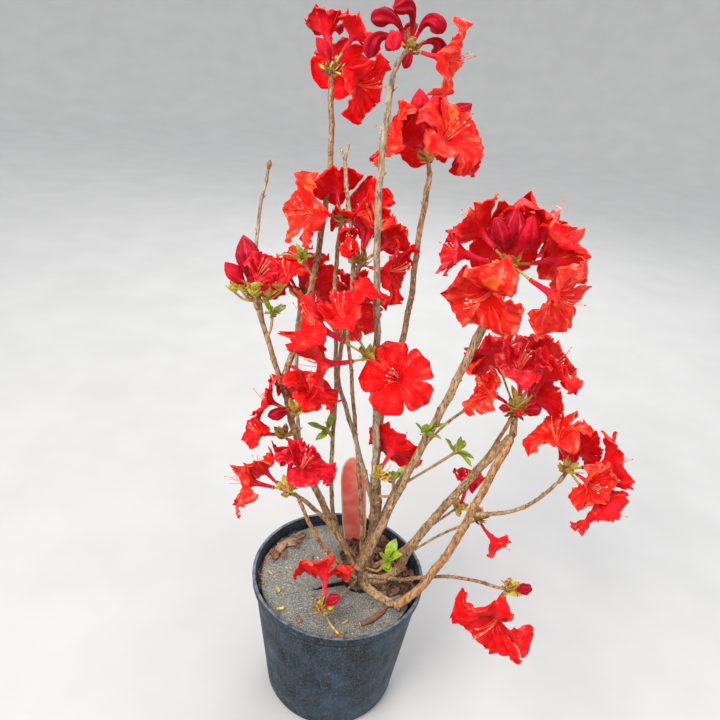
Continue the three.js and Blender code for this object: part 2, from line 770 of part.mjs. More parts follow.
// Normals of the planes midway between one direction and each of the others
function wallsBetween(direction, others) {
  return others.map((other) => direction.clone().sub(other).normalize());
}

// A truss or a tuft: its stem, then flowers, buds, scales and leaves that touch nothing else
function grow({ path, flowers = [], buds = [], leaves = 0, seed }, limbs, obstacles) {
  const rng = seeded(seed);
  const middle = vec(path[path.length - 1]);
  const along = middle.clone().sub(vec(path[path.length - 2])).normalize();
  const end = middle.clone().addScaledVector(along, TWIG_PAST).toArray();
  const thick = flowers.length > 1 || buds.length > 1 ? TRUSS_TWIG_RADIUS : THIN_TWIG_RADIUS;
  const stem = limb([...path.slice(0, -1), end], [thick * TWIG_TAPER, thick], {
    sides: TWIG_SIDES,
    step: TWIG_STEP,
  });
  const pieces = [cutBy(stem, limbs)];
  const fits = (solid) => {
    const { min, max } = solid.boundingBox();
    const centre = vec(min).add(vec(max)).divideScalar(2);
    return middle.distanceTo(centre) < TRUSS_REACH && isClear(solid, obstacles);
  };
  const headings = flowers.map(([turn, rise]) => heading(turn, rise));
  flowers.forEach(([, , size = 1, stalk = STALK_LENGTH, open = 1], i) => {
    const direction = headings[i];
    const flowerSeed = Math.floor(rng() * 1e6);
    const roll = swing(rng, Math.PI);
    const back = facing(direction, roll).invert();
    const walls = wallsBetween(direction, headings.toSpliced(i, 1));
    walls.forEach((wall) => wall.applyQuaternion(back));
    const made = (kept) => {
      const shape = { size, stalk, open, rng: seeded(flowerSeed), kept, walls };
      return solidOf(placed(flowerShape(shape), middle, direction, roll));
    };
    const lobes = [...Array(LOBES).keys()];
    const kept = lobes.map((lobe) => fits(made(lobes.map((other) => other === lobe))));
    const flower = made(kept);
    if (fits(flower)) pieces.push(flower);
  });
  for (const [turn, rise, size = 1] of buds) {
    const shape = placed(budShape(size), middle, heading(turn, rise), swing(rng, 1));
    const solid = solidOf(shape);
    if (fits(solid)) pieces.push(solid);
  }
  const blades = [
    ...Array(flowers.length ? SCALE_COUNT : BARE_TUFT_SCALES).fill(SCALE_LENGTH),
    ...Array(leaves).fill(LEAF_LENGTH),
  ];
  blades.forEach((lengths, i) => {
    const length = between(rng, lengths);
    const turn = i * LEAF_TURN + swing(rng, LEAF_TURN_SWING);
    const direction = heading(turn, between(rng, LEAF_RISE));
    direction.addScaledVector(along, LEAF_LEAN).normalize();
    const foot = middle.clone().addScaledVector(along, -between(rng, LEAF_FOOT_BACK));
    const leaf = blade(length, length * LEAF_WIDTH_SHARE, LEAF_THICKNESS);
    const solid = solidOf(placed(leaf, foot, direction, swing(rng, Math.PI)));
    if (fits(solid)) pieces.push(solid);
  });
  return largest(Solid.union(pieces));
}

const group = new THREE.Group();
function addPiece(name, solid, [color, roughness]) {
  const material = new THREE.MeshStandardMaterial({ color, roughness, metalness: 0 });
  const mesh = new THREE.Mesh(geometryOf(solid), material);
  mesh.name = name;
  group.add(mesh);
}

const pot = potShell();
const label = plantLabel(0);
const labelSpace = plantLabel(GAP);
const felt = feltDisc(labelSpace);

// Each limb is cut back where it leaves one made before it, so that it springs from its side
const solids = { crown: crown(0) };
const grownLimbs = [crown(GAP)];
for (const name of Object.keys(LIMBS)) {
  solids[name] = cutBy(limbSolid(name, 0), grownLimbs);
  grownLimbs.push(limbSolid(name, GAP));
}

addPiece("pot", pot, COLOURS.pot);
const fill = filling([pot, felt, labelSpace, ...grownLimbs], [labelSpace, grownLimbs[0]]);
addPiece("filling", fill, COLOURS.filling);
addPiece("felt_disc", felt, COLOURS.felt);
addPiece("plant_label", label, COLOURS.label);
for (const [name, solid] of Object.entries(solids)) {
  addPiece(name, solid, COLOURS.wood);
}

const obstacles = [pot, fill, felt, label, ...grownLimbs];
const masses = [
  [TRUSSES, COLOURS.flowers],
  [TUFTS, COLOURS.leaves],
];
for (const [specs, colour] of masses) {
  for (const [name, spec] of Object.entries(specs)) {
    const solid = grow(spec, grownLimbs, obstacles);
    obstacles.push(solid);
    addPiece(name, solid, colour);
  }
}

export default group;
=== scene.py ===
import math

import bpy
import numpy as np
from mathutils import Matrix


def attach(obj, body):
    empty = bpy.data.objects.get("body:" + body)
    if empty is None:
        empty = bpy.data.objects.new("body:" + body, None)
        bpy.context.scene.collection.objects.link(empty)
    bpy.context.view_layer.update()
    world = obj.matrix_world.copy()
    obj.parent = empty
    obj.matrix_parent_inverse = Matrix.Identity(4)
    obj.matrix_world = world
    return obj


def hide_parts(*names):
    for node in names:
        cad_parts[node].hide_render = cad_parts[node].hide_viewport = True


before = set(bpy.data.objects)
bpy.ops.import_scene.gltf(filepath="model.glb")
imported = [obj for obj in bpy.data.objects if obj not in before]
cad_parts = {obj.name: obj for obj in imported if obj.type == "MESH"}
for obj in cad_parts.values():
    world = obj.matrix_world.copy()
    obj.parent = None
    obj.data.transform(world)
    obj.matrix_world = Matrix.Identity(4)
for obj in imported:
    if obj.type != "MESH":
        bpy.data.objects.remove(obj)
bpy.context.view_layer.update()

# A deciduous azalea in flower, in its black nursery pot. Sizes and places are in millimetres, in
# the frame's own axes, and each piece is scaled to metres as it is built. Only the studio's sizes
# and the reliefs of its finishes are in metres.
MM = 0.001

# Camera, as the photo was taken: its place, how far it looks down, its roll and its lens
CAMERA_AT = (3, -638, 833)
CAMERA_PITCH = 27.1
CAMERA_ROLL = 5.3
CAMERA_LENS = 32.5
CAMERA_SENSOR = 36
CAMERA_NEAR = 10

# Pot
POT_HEIGHT = 195
POT_RIM_RADIUS = 112
POT_BASE_RADIUS = 88
POT_WALL = 1.8
POT_LIP_HEIGHT = 12
POT_LIP_DEPTH = 2.4
POT_FOOT_HEIGHT = 5
POT_FOOT_STEP = 2
POT_SEGMENTS = 192
# Height of the rim's top band, lighter: scuffs and a painted highlight
POT_EDGE = 1.2
# Height of the near-black band under the lip: a painted shadow
LIP_SHADOW_HEIGHT = 6.6

# Filling and felt disc
FILL_TOP = 177
FELT_RADIUS = 101
FELT_LOW = 177.4
FELT_THICKNESS = 3
FELT_TOP = FELT_LOW + FELT_THICKNESS
FELT_HOLE_RADIUS = 24
FELT_CUT_FROM = -14
FELT_CUT_TO = 82
FELT_SLIT_END = (-34, -27)
FELT_SLIT_WIDTH = 9
CHIP_REACH = (30, 99)
CHIP_EDGE_TURN = (132, 196)
CHIP_EDGE_REACH = (99.5, 104)
# Large curled flakes by the left edge: place, turn and length
EDGE_FLAKES = [(-82, 42, 70, 22), (-70, 52, 20, 20), (-76, 30, 110, 16), (-58, 68, 50, 17),
               (-88, 26, 80, 14), (-64, 58, 140, 15)]

# Plain stick-in label
LABEL_WIDTH = 34
LABEL_HEIGHT = 168
LABEL_ARCH = 43
LABEL_ARCH_STEPS = 25
LABEL_WAIST = 50
LABEL_THICKNESS = 1
LABEL_FOOT = (21, 75, 164)
LABEL_LEAN_BACK = -4
LABEL_LEAN_LEFT = 6
LABEL_TURN = 8
LABEL_FOOT_SHARE = 0.8
LABEL_BORDER = 1.8
LABEL_BEND = 0.0002

# Woody crown
CROWN_CENTRE = (30, 0)
CROWN_FOOT_RADIUS = 18
CROWN_TOP_RADIUS = 9.5
CROWN_TOP = 216
CROWN_SUNK = 8

# Flower of size 1, as in the solids, and the shape of its five lobes
LOBES = 5
FLARE_RADIUS = 5.6
STALK_LENGTH = 11
STALK_ROOT = 4
CLOSING_RISE = 0.9
LOBE_WAVE = 4
WALL_MARGIN = 1.5
WALL_LIFT = 0.6
PETAL_THICKNESS = 0.45

# Buds, scales and leaves, as in the solids
BUD_LENGTH = 34
BUD_RADIUS = 7.8
BUD_STALK_LENGTH = 8
SCALE_COUNT = 3
SCALE_LENGTH = (9, 14)
LEAF_LENGTH = (18, 32)
LEAF_WIDTH_SHARE = 0.32
BRACT_WIDTH_SHARE = 0.46
LEAF_TURN = 137.5
LEAF_TURN_SWING = 25
LEAF_RISE = (-10, 70)
LEAF_LEAN = 0.5
LEAF_FOOT_BACK = (0, 3)
BARE_TUFT_SCALES = 2
TRUSS_TWIG_RADIUS = 2.6
THIN_TWIG_RADIUS = 1.8
TWIG_TAPER = 0.85

# Limbs: the points each passes from foot to tip, its radius at both, and its bark
LIMBS = {
    "trunk": ([(33, 2, 208), (41, 2, 262), (35, 8, 352)], (8.5, 6.5), "crown"),
    "stem_tall": ([(35, 8, 346), (20, 8, 520), (6, 0, 700), (9, 0, 802)], (4.4, 2.8), "grey"),
    "stem_right_upper": (
        [(28, -4, 206), (40, -14, 255), (65, -14, 348), (109, -22, 505), (138, -30, 630)],
        (5, 4), "tan"),
    "stem_right_middle": (
        [(36, -5, 187), (60, -5, 189), (78, 2, 202), (90, 5, 238), (156, 8, 365), (188, 3, 426)],
        (5.6, 4.6), "tan"),
    "stem_front_foot": ([(34, -8, 186), (46, -27, 187), (76, -45, 187)], (5.4, 5), "tan"),
    "stem_front": (
        [(78, -46, 187), (102, -44, 218), (133, -38, 284), (167, -22, 385), (185, -8, 431)],
        (5, 4.4), "orange"),
    "stem_left": ([(24, 5, 200), (-16, 15, 262), (-58, 25, 359), (-87, 32, 452)], (4.6, 3.9), "tan"),
    "stem_left_fork": ([(-87, 32, 449), (-107, 36, 508), (-118, 40, 540)], (3.2, 2.8), "tan"),
    "stem_inner": (
        [(-86, 33, 449), (-63, 80, 552), (-52, 130, 688), (-58, 150, 774)],
        (3.8, 3), "tan"),
    "stem_left_bare": ([(-113, 40, 524), (-124, 62, 615), (-114, 75, 690)], (2.2, 1.7), "grey"),
    "stem_back_thin": (
        [(22, 10, 190), (-14, 30, 268), (-24, 60, 441), (-34, 75, 567), (-33, 80, 628)],
        (2.9, 2.3), "tan"),
    "stem_dead_top": (
        [(37, 5, 300), (0, 28, 403), (-21, 42, 462), (-14, 55, 580), (-34, 88, 706)],
        (3, 2.1), "grey"),
    "stem_back_right": (
        [(35, 10, 338), (36, 40, 428), (54, 76, 520), (58, 105, 626), (63, 120, 690)],
        (3.9, 3.2), "tan"),
    "stem_middle": ([(35, 2, 338), (30, -3, 420), (14, -6, 502)], (3, 2.4), "grey"),
    "stem_far_left": (
        [(24, 8, 196), (-17, 45, 240), (-63, 75, 323), (-80, 112, 470), (-79, 120, 512)],
        (3, 2.4), "grey"),
    "stem_far_middle": ([(30, 8, 200), (24, 26, 262), (10, 52, 350), (-16, 129, 478)], (3, 2.4), "tan"),
    "stem_far_right": (
        [(36, 8, 200), (53, 30, 276), (108, 70, 395), (145, 90, 500), (180, 104, 590)],
        (3.4, 2.8), "tan"),
    "stem_far_low": (
        [(40, 6, 194), (86, 34, 210), (130, 60, 258), (190, 96, 338), (225, 114, 426)],
        (3.2, 2.5), "orange"),
    "twig_left_upper": ([(22, -4, 205), (-16, -12, 280), (-60, -38, 345)], (3, 2.4), "tan"),
    "twig_left_lower": ([(24, -8, 190), (-20, -25, 255), (-54, -43, 342)], (2.8, 2.2), "orange"),
    "twig_right": (
        [(150, -31, 332), (190, -39, 347), (222, -42, 374), (238, -40, 398)],
        (2.5, 2), "tan"),
    "twig_right_low": (
        [(38, -9, 197), (81, -14, 200), (112, -25, 220), (150, -46, 246), (190, -80, 268)],
        (2.5, 1.9), "tan"),
}

# Trusses: the path of each one's own stem, its flowers as turn, rise, size, stalk and openness,
# its buds as turn, rise and size, its leaves, its seed, and the tone of each flower. Some have
# hooked buds, longer bud stalks, dead husks, or side shoots as turn, rise and length.
TRUSSES = {
    "flowers_top": dict(
        path=[(9, 0, 798), (13, 0, 808), (22, 0, 820)],
        flowers=[(-15, -10, 0.8)],
        buds=[(-110, 84, 1.25), (-160, 52, 1.2), (-30, 62, 1.1), (20, 20, 1), (-170, 18, 1.25),
              (-125, 22, 1.15), (115, 20, 1), (-90, -15, 0.7), (80, 50, 1)],
        seed=11, tones="o", hooked=True,
    ),
    "flowers_top_left": dict(
        path=[(-58, 150, 771), (-58, 150, 786)],
        flowers=[(115, 60, 1, 11, 0.55), (35, 55, 0.8, 22), (-30, -15, 0.95, 14), (80, 10, 0.9)],
        buds=[(170, 66, 0.9)],
        seed=12, tones="csss",
    ),
    "flowers_right_upper": dict(
        path=[(138, -30, 627), (139, -30, 642)],
        flowers=[(-125, -25, 1.1, 20), (-170, 8, 0.95, 20, 0.55), (-45, -16, 1.05, 26), (0, 50, 1, 16),
                 (15, 5, 1, 20), (140, 30, 0.9, 19), (85, 8, 1)],
        buds=[(-150, 60, 1.4), (-115, 74, 1.5), (-60, 66, 1.4), (60, 68, 1.25), (100, 82, 1.3)],
        seed=21, tones="ocosoos",
    ),
    "flowers_right_middle": dict(
        path=[(187, -2, 426), (186, 0, 440), (185, 0, 460)],
        flowers=[(115, 80, 1.1, 20), (175, 30, 0.85, 15), (25, 55, 1, 26), (120, 45, 0.95, 44),
                 (30, 15, 0.85)],
        buds=[(-45, 30, 0.8), (-100, 25, 0.5), (-160, 20, 0.5)],
        leaves=4, husks=34, seed=22, tones="rosrs",
    ),
    "flowers_centre_left": dict(
        path=[(14, -6, 499), (13, -8, 515)],
        flowers=[(-175, 30, 1.2, 34), (180, 55, 1.1, 24), (-170, -10, 1.15, 18)],
        seed=31, tones="sss",
    ),
    "flowers_centre": dict(
        path=[(25, 8, 455), (38, 16, 463), (44, 18, 474)],
        flowers=[(-88, 34, 1)],
        seed=32, tones="s",
    ),
    "flowers_trunk": dict(
        path=[(37, 0, 332), (37, -14, 350), (37, -26, 371)],
        flowers=[(64, 26, 0.9)],
        seed=36, tones="s",
    ),
    "flowers_back_left": dict(
        path=[(-33, 80, 625), (-32, 80, 643)],
        flowers=[(-150, 10, 1), (110, 45, 0.85), (-70, -25, 0.5, 9, 0.55), (45, 10, 0.9)],
        seed=141, tones="osss",
    ),
    "flowers_back_middle": dict(
        path=[(-14, 55, 576), (-6, 58, 597)],
        flowers=[(90, 66, 0.95, 16), (50, 70, 0.95, 14), (-20, 2, 0.9), (35, 30, 0.85, 18),
                 (-130, 45, 0.5, 9, 0.55)],
        seed=242, tones="sosss",
    ),
    "flowers_left": dict(
        path=[(-118, 40, 537), (-124, 40, 558)],
        flowers=[(-50, 60, 0.85, 6, 0.55)],
        buds=[(130, 74, 1.65), (-165, 48, 1.15), (-25, 35, 0.5)],
        shoots=[(180, -5, 20), (-5, -8, 19), (0, 8, 32), (-60, -5, 11), (-150, 15, 13)],
        leaves=9, seed=351, tones="c",
    ),
    "flowers_left_inner": dict(
        path=[(-71, 28, 402), (-70, 12, 416), (-66, 5, 429)],
        flowers=[(-10, 65, 0.85), (180, 20, 0.75), (95, 30, 0.7)],
        buds=[(-140, 12, 0.9)],
        seed=52, tones="sss",
    ),
    "flowers_left_under": dict(
        path=[(-61, 26, 369), (-72, 18, 377), (-80, 15, 388)],
        flowers=[(-150, 20, 0.8, 6, 0.6)],
        seed=153, tones="s",
    ),
    "flowers_left_low": dict(
        path=[(-57, -39, 342), (-66, -41, 350)],
        flowers=[(180, 10, 1, 16), (15, 65, 0.95), (90, 45, 0.9), (155, 25, 0.75, 15)],
        seed=61, tones="occo",
    ),
    "flowers_front": dict(
        path=[(28, -8, 190), (0, -50, 192), (-15, -80, 209)],
        flowers=[(92, 30, 1, 11, 0.95)],
        buds=[(-20, 60, 0.85)],
        husks=14, seed=62, tones="o",
    ),
    "flowers_right": dict(
        path=[(238, -40, 395), (245, -40, 415)],
        flowers=[(160, 60, 0.95, 14), (0, 15, 0.95, 14), (-35, -30, 1, 19), (-60, 5, 0.8),
                 (60, 15, 0.8)],
        seed=71, tones="ossos",
    ),
    "flowers_right_low": dict(
        path=[(188, -79, 268), (200, -82, 270)],
        flowers=[(-120, -15, 1.15, 14)],
        buds=[(-45, 40, 0.8)],
        leaves=2, seed=72, tones="s",
    ),
    "flowers_back_right": dict(
        path=[(63, 120, 687), (58, 120, 708)],
        flowers=[(-56, 42, 1.05, 14), (-175, 25, 0.95, 14), (20, 18, 0.9), (95, 20, 0.95)],
        buds=[(140, 70, 1.4), (60, 80, 1.4), (10, 62, 1.4)],
        bud_stalk=26, seed=81, tones="ooss",
    ),
    "flowers_twig_orange": dict(
        path=[(79, -15, 399), (110, 10, 428), (156, 42, 450)],
        flowers=[(100, 50, 0.8)],
        seed=91, tones="o",
    ),
    "flowers_twig_inner": dict(
        path=[(105, 7, 267), (128, 26, 274), (150, 42, 282)],
        flowers=[(50, 75, 0.9, 6, 0.6)],
        seed=92, tones="c",
    ),
    "flowers_twig_outer": dict(
        path=[(87, 5, 226), (125, 0, 269), (167, -8, 307)],
        flowers=[(-40, -35, 0.75, 6, 0.55)],
        seed=93, tones="s",
    ),
    "flowers_far_left": dict(
        path=[(-79, 120, 509), (-80, 122, 527)],
        flowers=[(150, 20, 0.95), (95, 50, 0.95), (60, 5, 0.9), (-160, 60, 0.8)],
        buds=[(60, 76, 1)],
        seed=101, tones="soss",
    ),
    "flowers_far_middle": dict(
        path=[(-16, 129, 475), (-18, 132, 494)],
        flowers=[(100, 15, 1), (65, 40, 1), (80, -5, 0.95)],
        buds=[(-60, 76, 1), (170, 60, 1)],
        seed=102, tones="oso",
    ),
    "flowers_far_right": dict(
        path=[(180, 104, 587), (183, 106, 606)],
        flowers=[(75, 30, 1), (25, 12, 1), (125, 15, 1), (100, 70, 0.95)],
        buds=[(0, 66, 1.1), (180, 64, 1.1)],
        seed=103, tones="sosr",
    ),
    "flowers_far_low": dict(
        path=[(225, 114, 423), (228, 116, 442)],
        flowers=[(70, 20, 1), (20, 35, 0.95), (120, 45, 0.95)],
        buds=[(-60, 60, 0.9)],
        seed=104, tones="soc",
    ),
}

# Leaf tufts: the path of each one's twig from the limb that carries it, and its leaves
TUFTS = {
    "leaves_right_stem": dict(path=[(86, -17, 422), (82, -24, 434)], leaves=4, seed=201),
    "leaves_right_twig": dict(path=[(67, -13, 352), (99, 2, 369), (128, 8, 392)], leaves=5, seed=202),
    "leaves_trunk": dict(path=[(38, 4, 318), (56, -8, 331), (56, -10, 356)], leaves=3, seed=203),
    "leaves_crown": dict(
        path=[(33, -3, 206), (50, -24, 222), (58, -30, 244)], leaves=6, seed=204, broad=0.46
    ),
    "leaves_back_stem": dict(path=[(-20, 47, 365), (-29, 40, 383)], leaves=3, seed=205),
    "leaves_inner_stem": dict(path=[(-62, 86, 568), (-77, 88, 587)], leaves=5, seed=206),
    "leaves_left_fork": dict(
        path=[(-106, 36, 506), (-101, 30, 520), (-99, 28, 540)], leaves=5, seed=207
    ),
}

# Tones of a flower by letter: scarlet, orange, crimson, rose
TONES = {"s": "scarlet", "o": "orange", "c": "crimson", "r": "rose"}


# Draws, directions and paths, by the same rules as the solids
MASK = 0xFFFFFFFF
FULL_TURN = 2 * math.pi
ANY_TURN = (0, FULL_TURN)
CURVE_STEPS = 33
LENGTH_SPANS = 60
WAVES = 7
WAVE_LENGTHS = (0.7, 1.6)


def seeded(seed):
    """The same row of numbers between 0 and 1 for the same seed."""
    state = (seed * 2654435761) & MASK

    def draw():
        nonlocal state
        state = (state + 0x6D2B79F5) & MASK
        t = ((state ^ (state >> 15)) * (1 | state)) & MASK
        t = ((t + (((t ^ (t >> 7)) * (61 | t)) & MASK)) & MASK) ^ t
        return (t ^ (t >> 14)) / 4294967296

    return draw


def between(rng, span):
    return span[0] + (span[1] - span[0]) * rng()


def swing(rng, most):
    return (2 * rng() - 1) * most


def unit(v):
    return v / np.linalg.norm(v)


def heading(turn, rise):
    """Unit vector at an angle round from +X and an angle up."""
    turn, rise = math.radians(turn), math.radians(rise)
    flat = math.cos(rise)
    return np.array([flat * math.cos(turn), flat * math.sin(turn), math.sin(rise)])


def facing(direction, roll=0.0):
    """Matrix that faces +Z in a direction, after a roll about it."""
    x, y, z = direction
    cross = np.array([[0, 0, x], [0, 0, y], [-x, -y, 0]])
    turn = np.eye(3) + cross + cross @ cross / max(1 + z, 1e-6)
    c, s = math.cos(roll), math.sin(roll)
    return turn @ np.array([[c, -s, 0], [s, c, 0], [0, 0, 1]])


def running(steps):
    """A running total that starts at 0."""
    return np.concatenate([[0], np.cumsum(steps)])


def smooth_path(points, count):
    """Points at even lengths along a centripetal Catmull-Rom curve, count spans in all."""
    knots = np.array(points, float)
    knots = np.vstack([2 * knots[0] - knots[1], knots, 2 * knots[-1] - knots[-2]])
    shares = np.linspace(0, 1, CURVE_STEPS)[:, None]
    runs = []
    for a, b, c, d in zip(knots, knots[1:], knots[2:], knots[3:]):
        before, over, after = (math.sqrt(np.linalg.norm(q - p)) for p, q in ((a, b), (b, c), (c, d)))
        leave = ((b - a) / before - (c - a) / (before + over) + (c - b) / over) * over
        reach = ((c - b) / over - (d - b) / (over + after) + (d - c) / after) * over
        cubic = (2 * b - 2 * c + leave + reach) * shares**3
        square = (3 * c - 3 * b - 2 * leave - reach) * shares**2
        runs.append((cubic + square + leave * shares + b)[:-1])
    dense = np.vstack(runs + [knots[-2:-1]])
    length = running(np.linalg.norm(np.diff(dense, axis=0), axis=1))
    even = np.linspace(0, length[-1], count + 1)
    return np.stack([np.interp(even, length, dense[:, k]) for k in range(3)], axis=1)


def path_length(points):
    dense = smooth_path(points, LENGTH_SPANS)
    return np.linalg.norm(np.diff(dense, axis=0), axis=1).sum()


def ripple(points, size, seed):
    """Smooth noise between about -1 and 1 at points, with bumps of a size in millimetres."""
    rng = np.random.default_rng(seed)
    total = np.zeros(len(points))
    for _ in range(WAVES):
        direction = rng.normal(size=3)
        direction *= FULL_TURN / (size * rng.uniform(*WAVE_LENGTHS) * np.linalg.norm(direction))
        total += np.sin(points @ direction + rng.uniform(*ANY_TURN))
    return total / math.sqrt(WAVES)


def lumps_of(points, lumps, seed):
    """Ripples of several sizes and heights in one."""
    return sum(high * ripple(points, size, seed + i) for i, (size, high) in enumerate(lumps))


def soft_step(x, low, high):
    t = np.clip((x - low) / (high - low), 0, 1)
    return t * t * (3 - 2 * t)


# Meshes
def linked(name, data):
    """A new object in the scene."""
    item = bpy.data.objects.new(name, data)
    bpy.context.scene.collection.objects.link(item)
    return item


def meshed(name, points, faces, materials, kinds):
    """A smooth mesh from points in metres, with a material's name for each face."""
    mesh = bpy.data.meshes.new(name)
    mesh.from_pydata(points.tolist(), [], faces)
    for material in materials:
        mesh.materials.append(FINISHES[material])
    order = {material: i for i, material in enumerate(materials)}
    mesh.polygons.foreach_set("material_index", [order[kind] for kind in kinds])
    mesh.polygons.foreach_set("use_smooth", [True] * len(faces))
    mesh.update()
    return linked(name, mesh)


class Piece:
    """Faces gathered into one mesh, each with one of the piece's materials."""

    def __init__(self, name, materials):
        self.name = name
        self.materials = materials
        self.points = []
        self.faces = []
        self.kinds = []
        self.count = 0

    def add(self, points, faces, kind):
        """kind is a material's name, or a row of names, one a face."""
        self.points.append(np.asarray(points, float))
        if isinstance(kind, str):
            kind = [kind] * len(faces)
        self.faces += [[int(i) + self.count for i in face] for face in faces]
        self.kinds += kind
        self.count += len(points)

    def build(self, slot, nodes=()):
        points = np.concatenate(self.points) * MM
        piece = meshed(self.name, points, self.faces, self.materials, self.kinds)
        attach(piece, "root")
        if nodes:
            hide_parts(*nodes)


def angles_round(sides):
    return np.linspace(0, FULL_TURN, sides, endpoint=False)


def rings(radii, heights, sides):
    """Points of level rings about the Z axis, one ring after another."""
    angles = angles_round(sides)
    x, y = np.outer(radii, np.cos(angles)), np.outer(radii, np.sin(angles))
    return np.stack([x, y, np.outer(heights, np.ones(sides))], axis=2).reshape(-1, 3)


def bands(rows, sides, outward=True):
    """Faces between each ring and the next one up, facing outward or inward."""
    faces = []
    for i in range(rows - 1):
        for j in range(sides):
            a, b, k = i * sides, (i + 1) * sides, (j + 1) % sides
            corners = (a + j, a + k, b + k, b + j)
            faces.append(corners if outward else corners[:1] + corners[:0:-1])
    return faces


def frames_along(centres):
    """Tangent, normal and binormal at each centre, turned along without twist."""
    tangents = np.gradient(centres, axis=0)
    tangents /= np.linalg.norm(tangents, axis=1)[:, None]
    aside = np.cross(tangents[0], [0.3, 1.0, 0.2])
    normals = [unit(aside)]
    for tangent in tangents[1:]:
        turned = normals[-1] - tangent * (normals[-1] @ tangent)
        normals.append(unit(turned))
    normals = np.array(normals)
    return tangents, normals, np.cross(tangents, normals)


def tube(centres, radii, sides, relief=None):
    """Closed tube round a row of centres; relief scales each of its points' distance."""
    _, normals, binormals = frames_along(centres)
    angles = angles_round(sides)
    reach = np.outer(radii, np.ones(sides))
    if relief is not None:
        reach = reach * relief
    ring = centres[:, None, :] + normals[:, None, :] * (reach * np.cos(angles))[:, :, None]
    ring = ring + binormals[:, None, :] * (reach * np.sin(angles))[:, :, None]
    last = (len(centres) - 1) * sides
    ends = [tuple(range(sides - 1, -1, -1)), tuple(range(last, last + sides))]
    return ring.reshape(-1, 3), bands(len(centres), sides) + ends


def sheet_solid(grid, thickness):
    """A grid of points as a thin closed solid: rows by columns, its upper side as given."""
    rows, columns = grid.shape[:2]
    along = np.gradient(grid, axis=0)
    across = np.gradient(grid, axis=1)
    normal = np.cross(along, across)
    normal /= np.linalg.norm(normal, axis=2)[:, :, None] + 1e-9
    top = grid.reshape(-1, 3)
    low = (grid - normal * thickness).reshape(-1, 3)
    count = len(top)
    faces = []
    for i in range(rows - 1):
        for j in range(columns - 1):
            a, b = i * columns + j, (i + 1) * columns + j
            faces.append((a, b, b + 1, a + 1))
            faces.append((a + count, a + 1 + count, b + 1 + count, b + count))
    spots = np.arange(count).reshape(rows, columns)
    edge = [*spots[:, 0], *spots[-1, 1:], *spots[-2::-1, -1], *spots[0, -2:0:-1]]
    faces += [(a, a + count, b + count, b) for a, b in zip(edge, edge[1:] + edge[:1])]
    return np.vstack([top, low]), faces


# Finishes: each is worked out by nodes from the object's own coordinates
SUBSURFACE_DEPTH = 0.002


def linear(red, green, blue):
    """A colour in screen values from 0 to 255 as a linear colour."""
    shares = (v / 255 for v in (red, green, blue))
    return tuple(v / 12.92 if v <= 10 / 255 else ((v + 0.055) / 1.055) ** 2.4 for v in shares) + (1.0,)


def grey(value):
    return (value, value, value, 1)


class Nodes:
    """A new material and the nodes behind its shader."""

    def __init__(self, name):
        self.material = bpy.data.materials.new(name)
        self.material.use_nodes = True
        self.tree = self.material.node_tree
        self.shader = self.tree.nodes["Principled BSDF"]
        self.coordinates = self.add("TexCoord").outputs["Object"]

    def add(self, kind, **values):
        """A node with values on its own sockets."""
        node = self.tree.nodes.new("ShaderNode" + kind)
        for socket, value in values.items():
            node.inputs[socket].default_value = value
        return node

    def link(self, output, node, socket):
        self.tree.links.new(output, node.inputs[socket])

    def noise(self, scale, stretch=(1, 1, 1), detail=4, roughness=0.55):
        mapping = self.add("Mapping", Scale=stretch)
        self.link(self.coordinates, mapping, "Vector")
        texture = self.add("TexNoise", Scale=scale, Detail=detail, Roughness=roughness)
        self.link(mapping.outputs["Vector"], texture, "Vector")
        return texture.outputs["Fac"]

    def ramp(self, value, stops):
        """Colours by a value: stops are pairs of a place and a linear colour."""
        node = self.add("ValToRGB")
        elements = node.color_ramp.elements
        while len(elements) < len(stops):
            elements.new(0.5)
        for element, (place, colour) in zip(elements, stops):
            element.position = place
            element.color = colour
        self.link(value, node, "Fac")
        return node.outputs["Color"]

    def cover(self, share, below, colour):
        """A screen colour that covers the one below by a share."""
        node = self.add("Mix")
        node.data_type = "RGBA"
        self.link(share, node, "Factor")
        self.link(below, node, 6)
        node.inputs[7].default_value = linear(*colour)
        return node.outputs[2]

    def relief(self, height, strength, distance):
        bump = self.add("Bump", Strength=strength, Distance=distance)
        self.link(height, bump, "Height")
        self.link(bump.outputs["Normal"], self.shader, "Normal")


def finish(name, stops, scale, stretch=(1, 1, 1), specks=(), roughness=0.6, bump=0.3, bump_scale=600,
           bump_stretch=(1, 1, 1), depth=0.0004, sheen=0.0, subsurface=0.0, specular=0.5):
    """stops colour it by broad noise, and each speck adds finer noise: (scale, low, high, colour)."""
    nodes = Nodes(name)
    shades = [(place, linear(*colour)) for place, colour in stops.items()]
    colour = nodes.ramp(nodes.noise(scale, stretch), shades)
    for speck_scale, low, high, speck_colour in specks:
        grain = nodes.noise(speck_scale, bump_stretch, detail=3)
        share = nodes.ramp(grain, [(low, grey(0)), (high, grey(1))])
        colour = nodes.cover(share, colour, speck_colour)
    nodes.link(colour, nodes.shader, "Base Color")
    nodes.relief(nodes.noise(bump_scale, bump_stretch, detail=5, roughness=0.6), bump, depth)
    inputs = nodes.shader.inputs
    inputs["Roughness"].default_value = roughness
    inputs["Specular IOR Level"].default_value = specular
    inputs["Sheen Weight"].default_value = sheen
    inputs["Subsurface Weight"].default_value = subsurface
    inputs["Subsurface Scale"].default_value = SUBSURFACE_DEPTH
    return nodes.material


# Share of red, green and blue that is left in each shade, as pale light round the shrub adds to them
PETAL_DEPTH = (0.92, 0.5, 0.6)
# How far that goes for the lighter shades, which stay clear and warm
LIGHTER_DEEPENED = {"light": 0.25, "bright": 0.6, "blotch": 0.1}
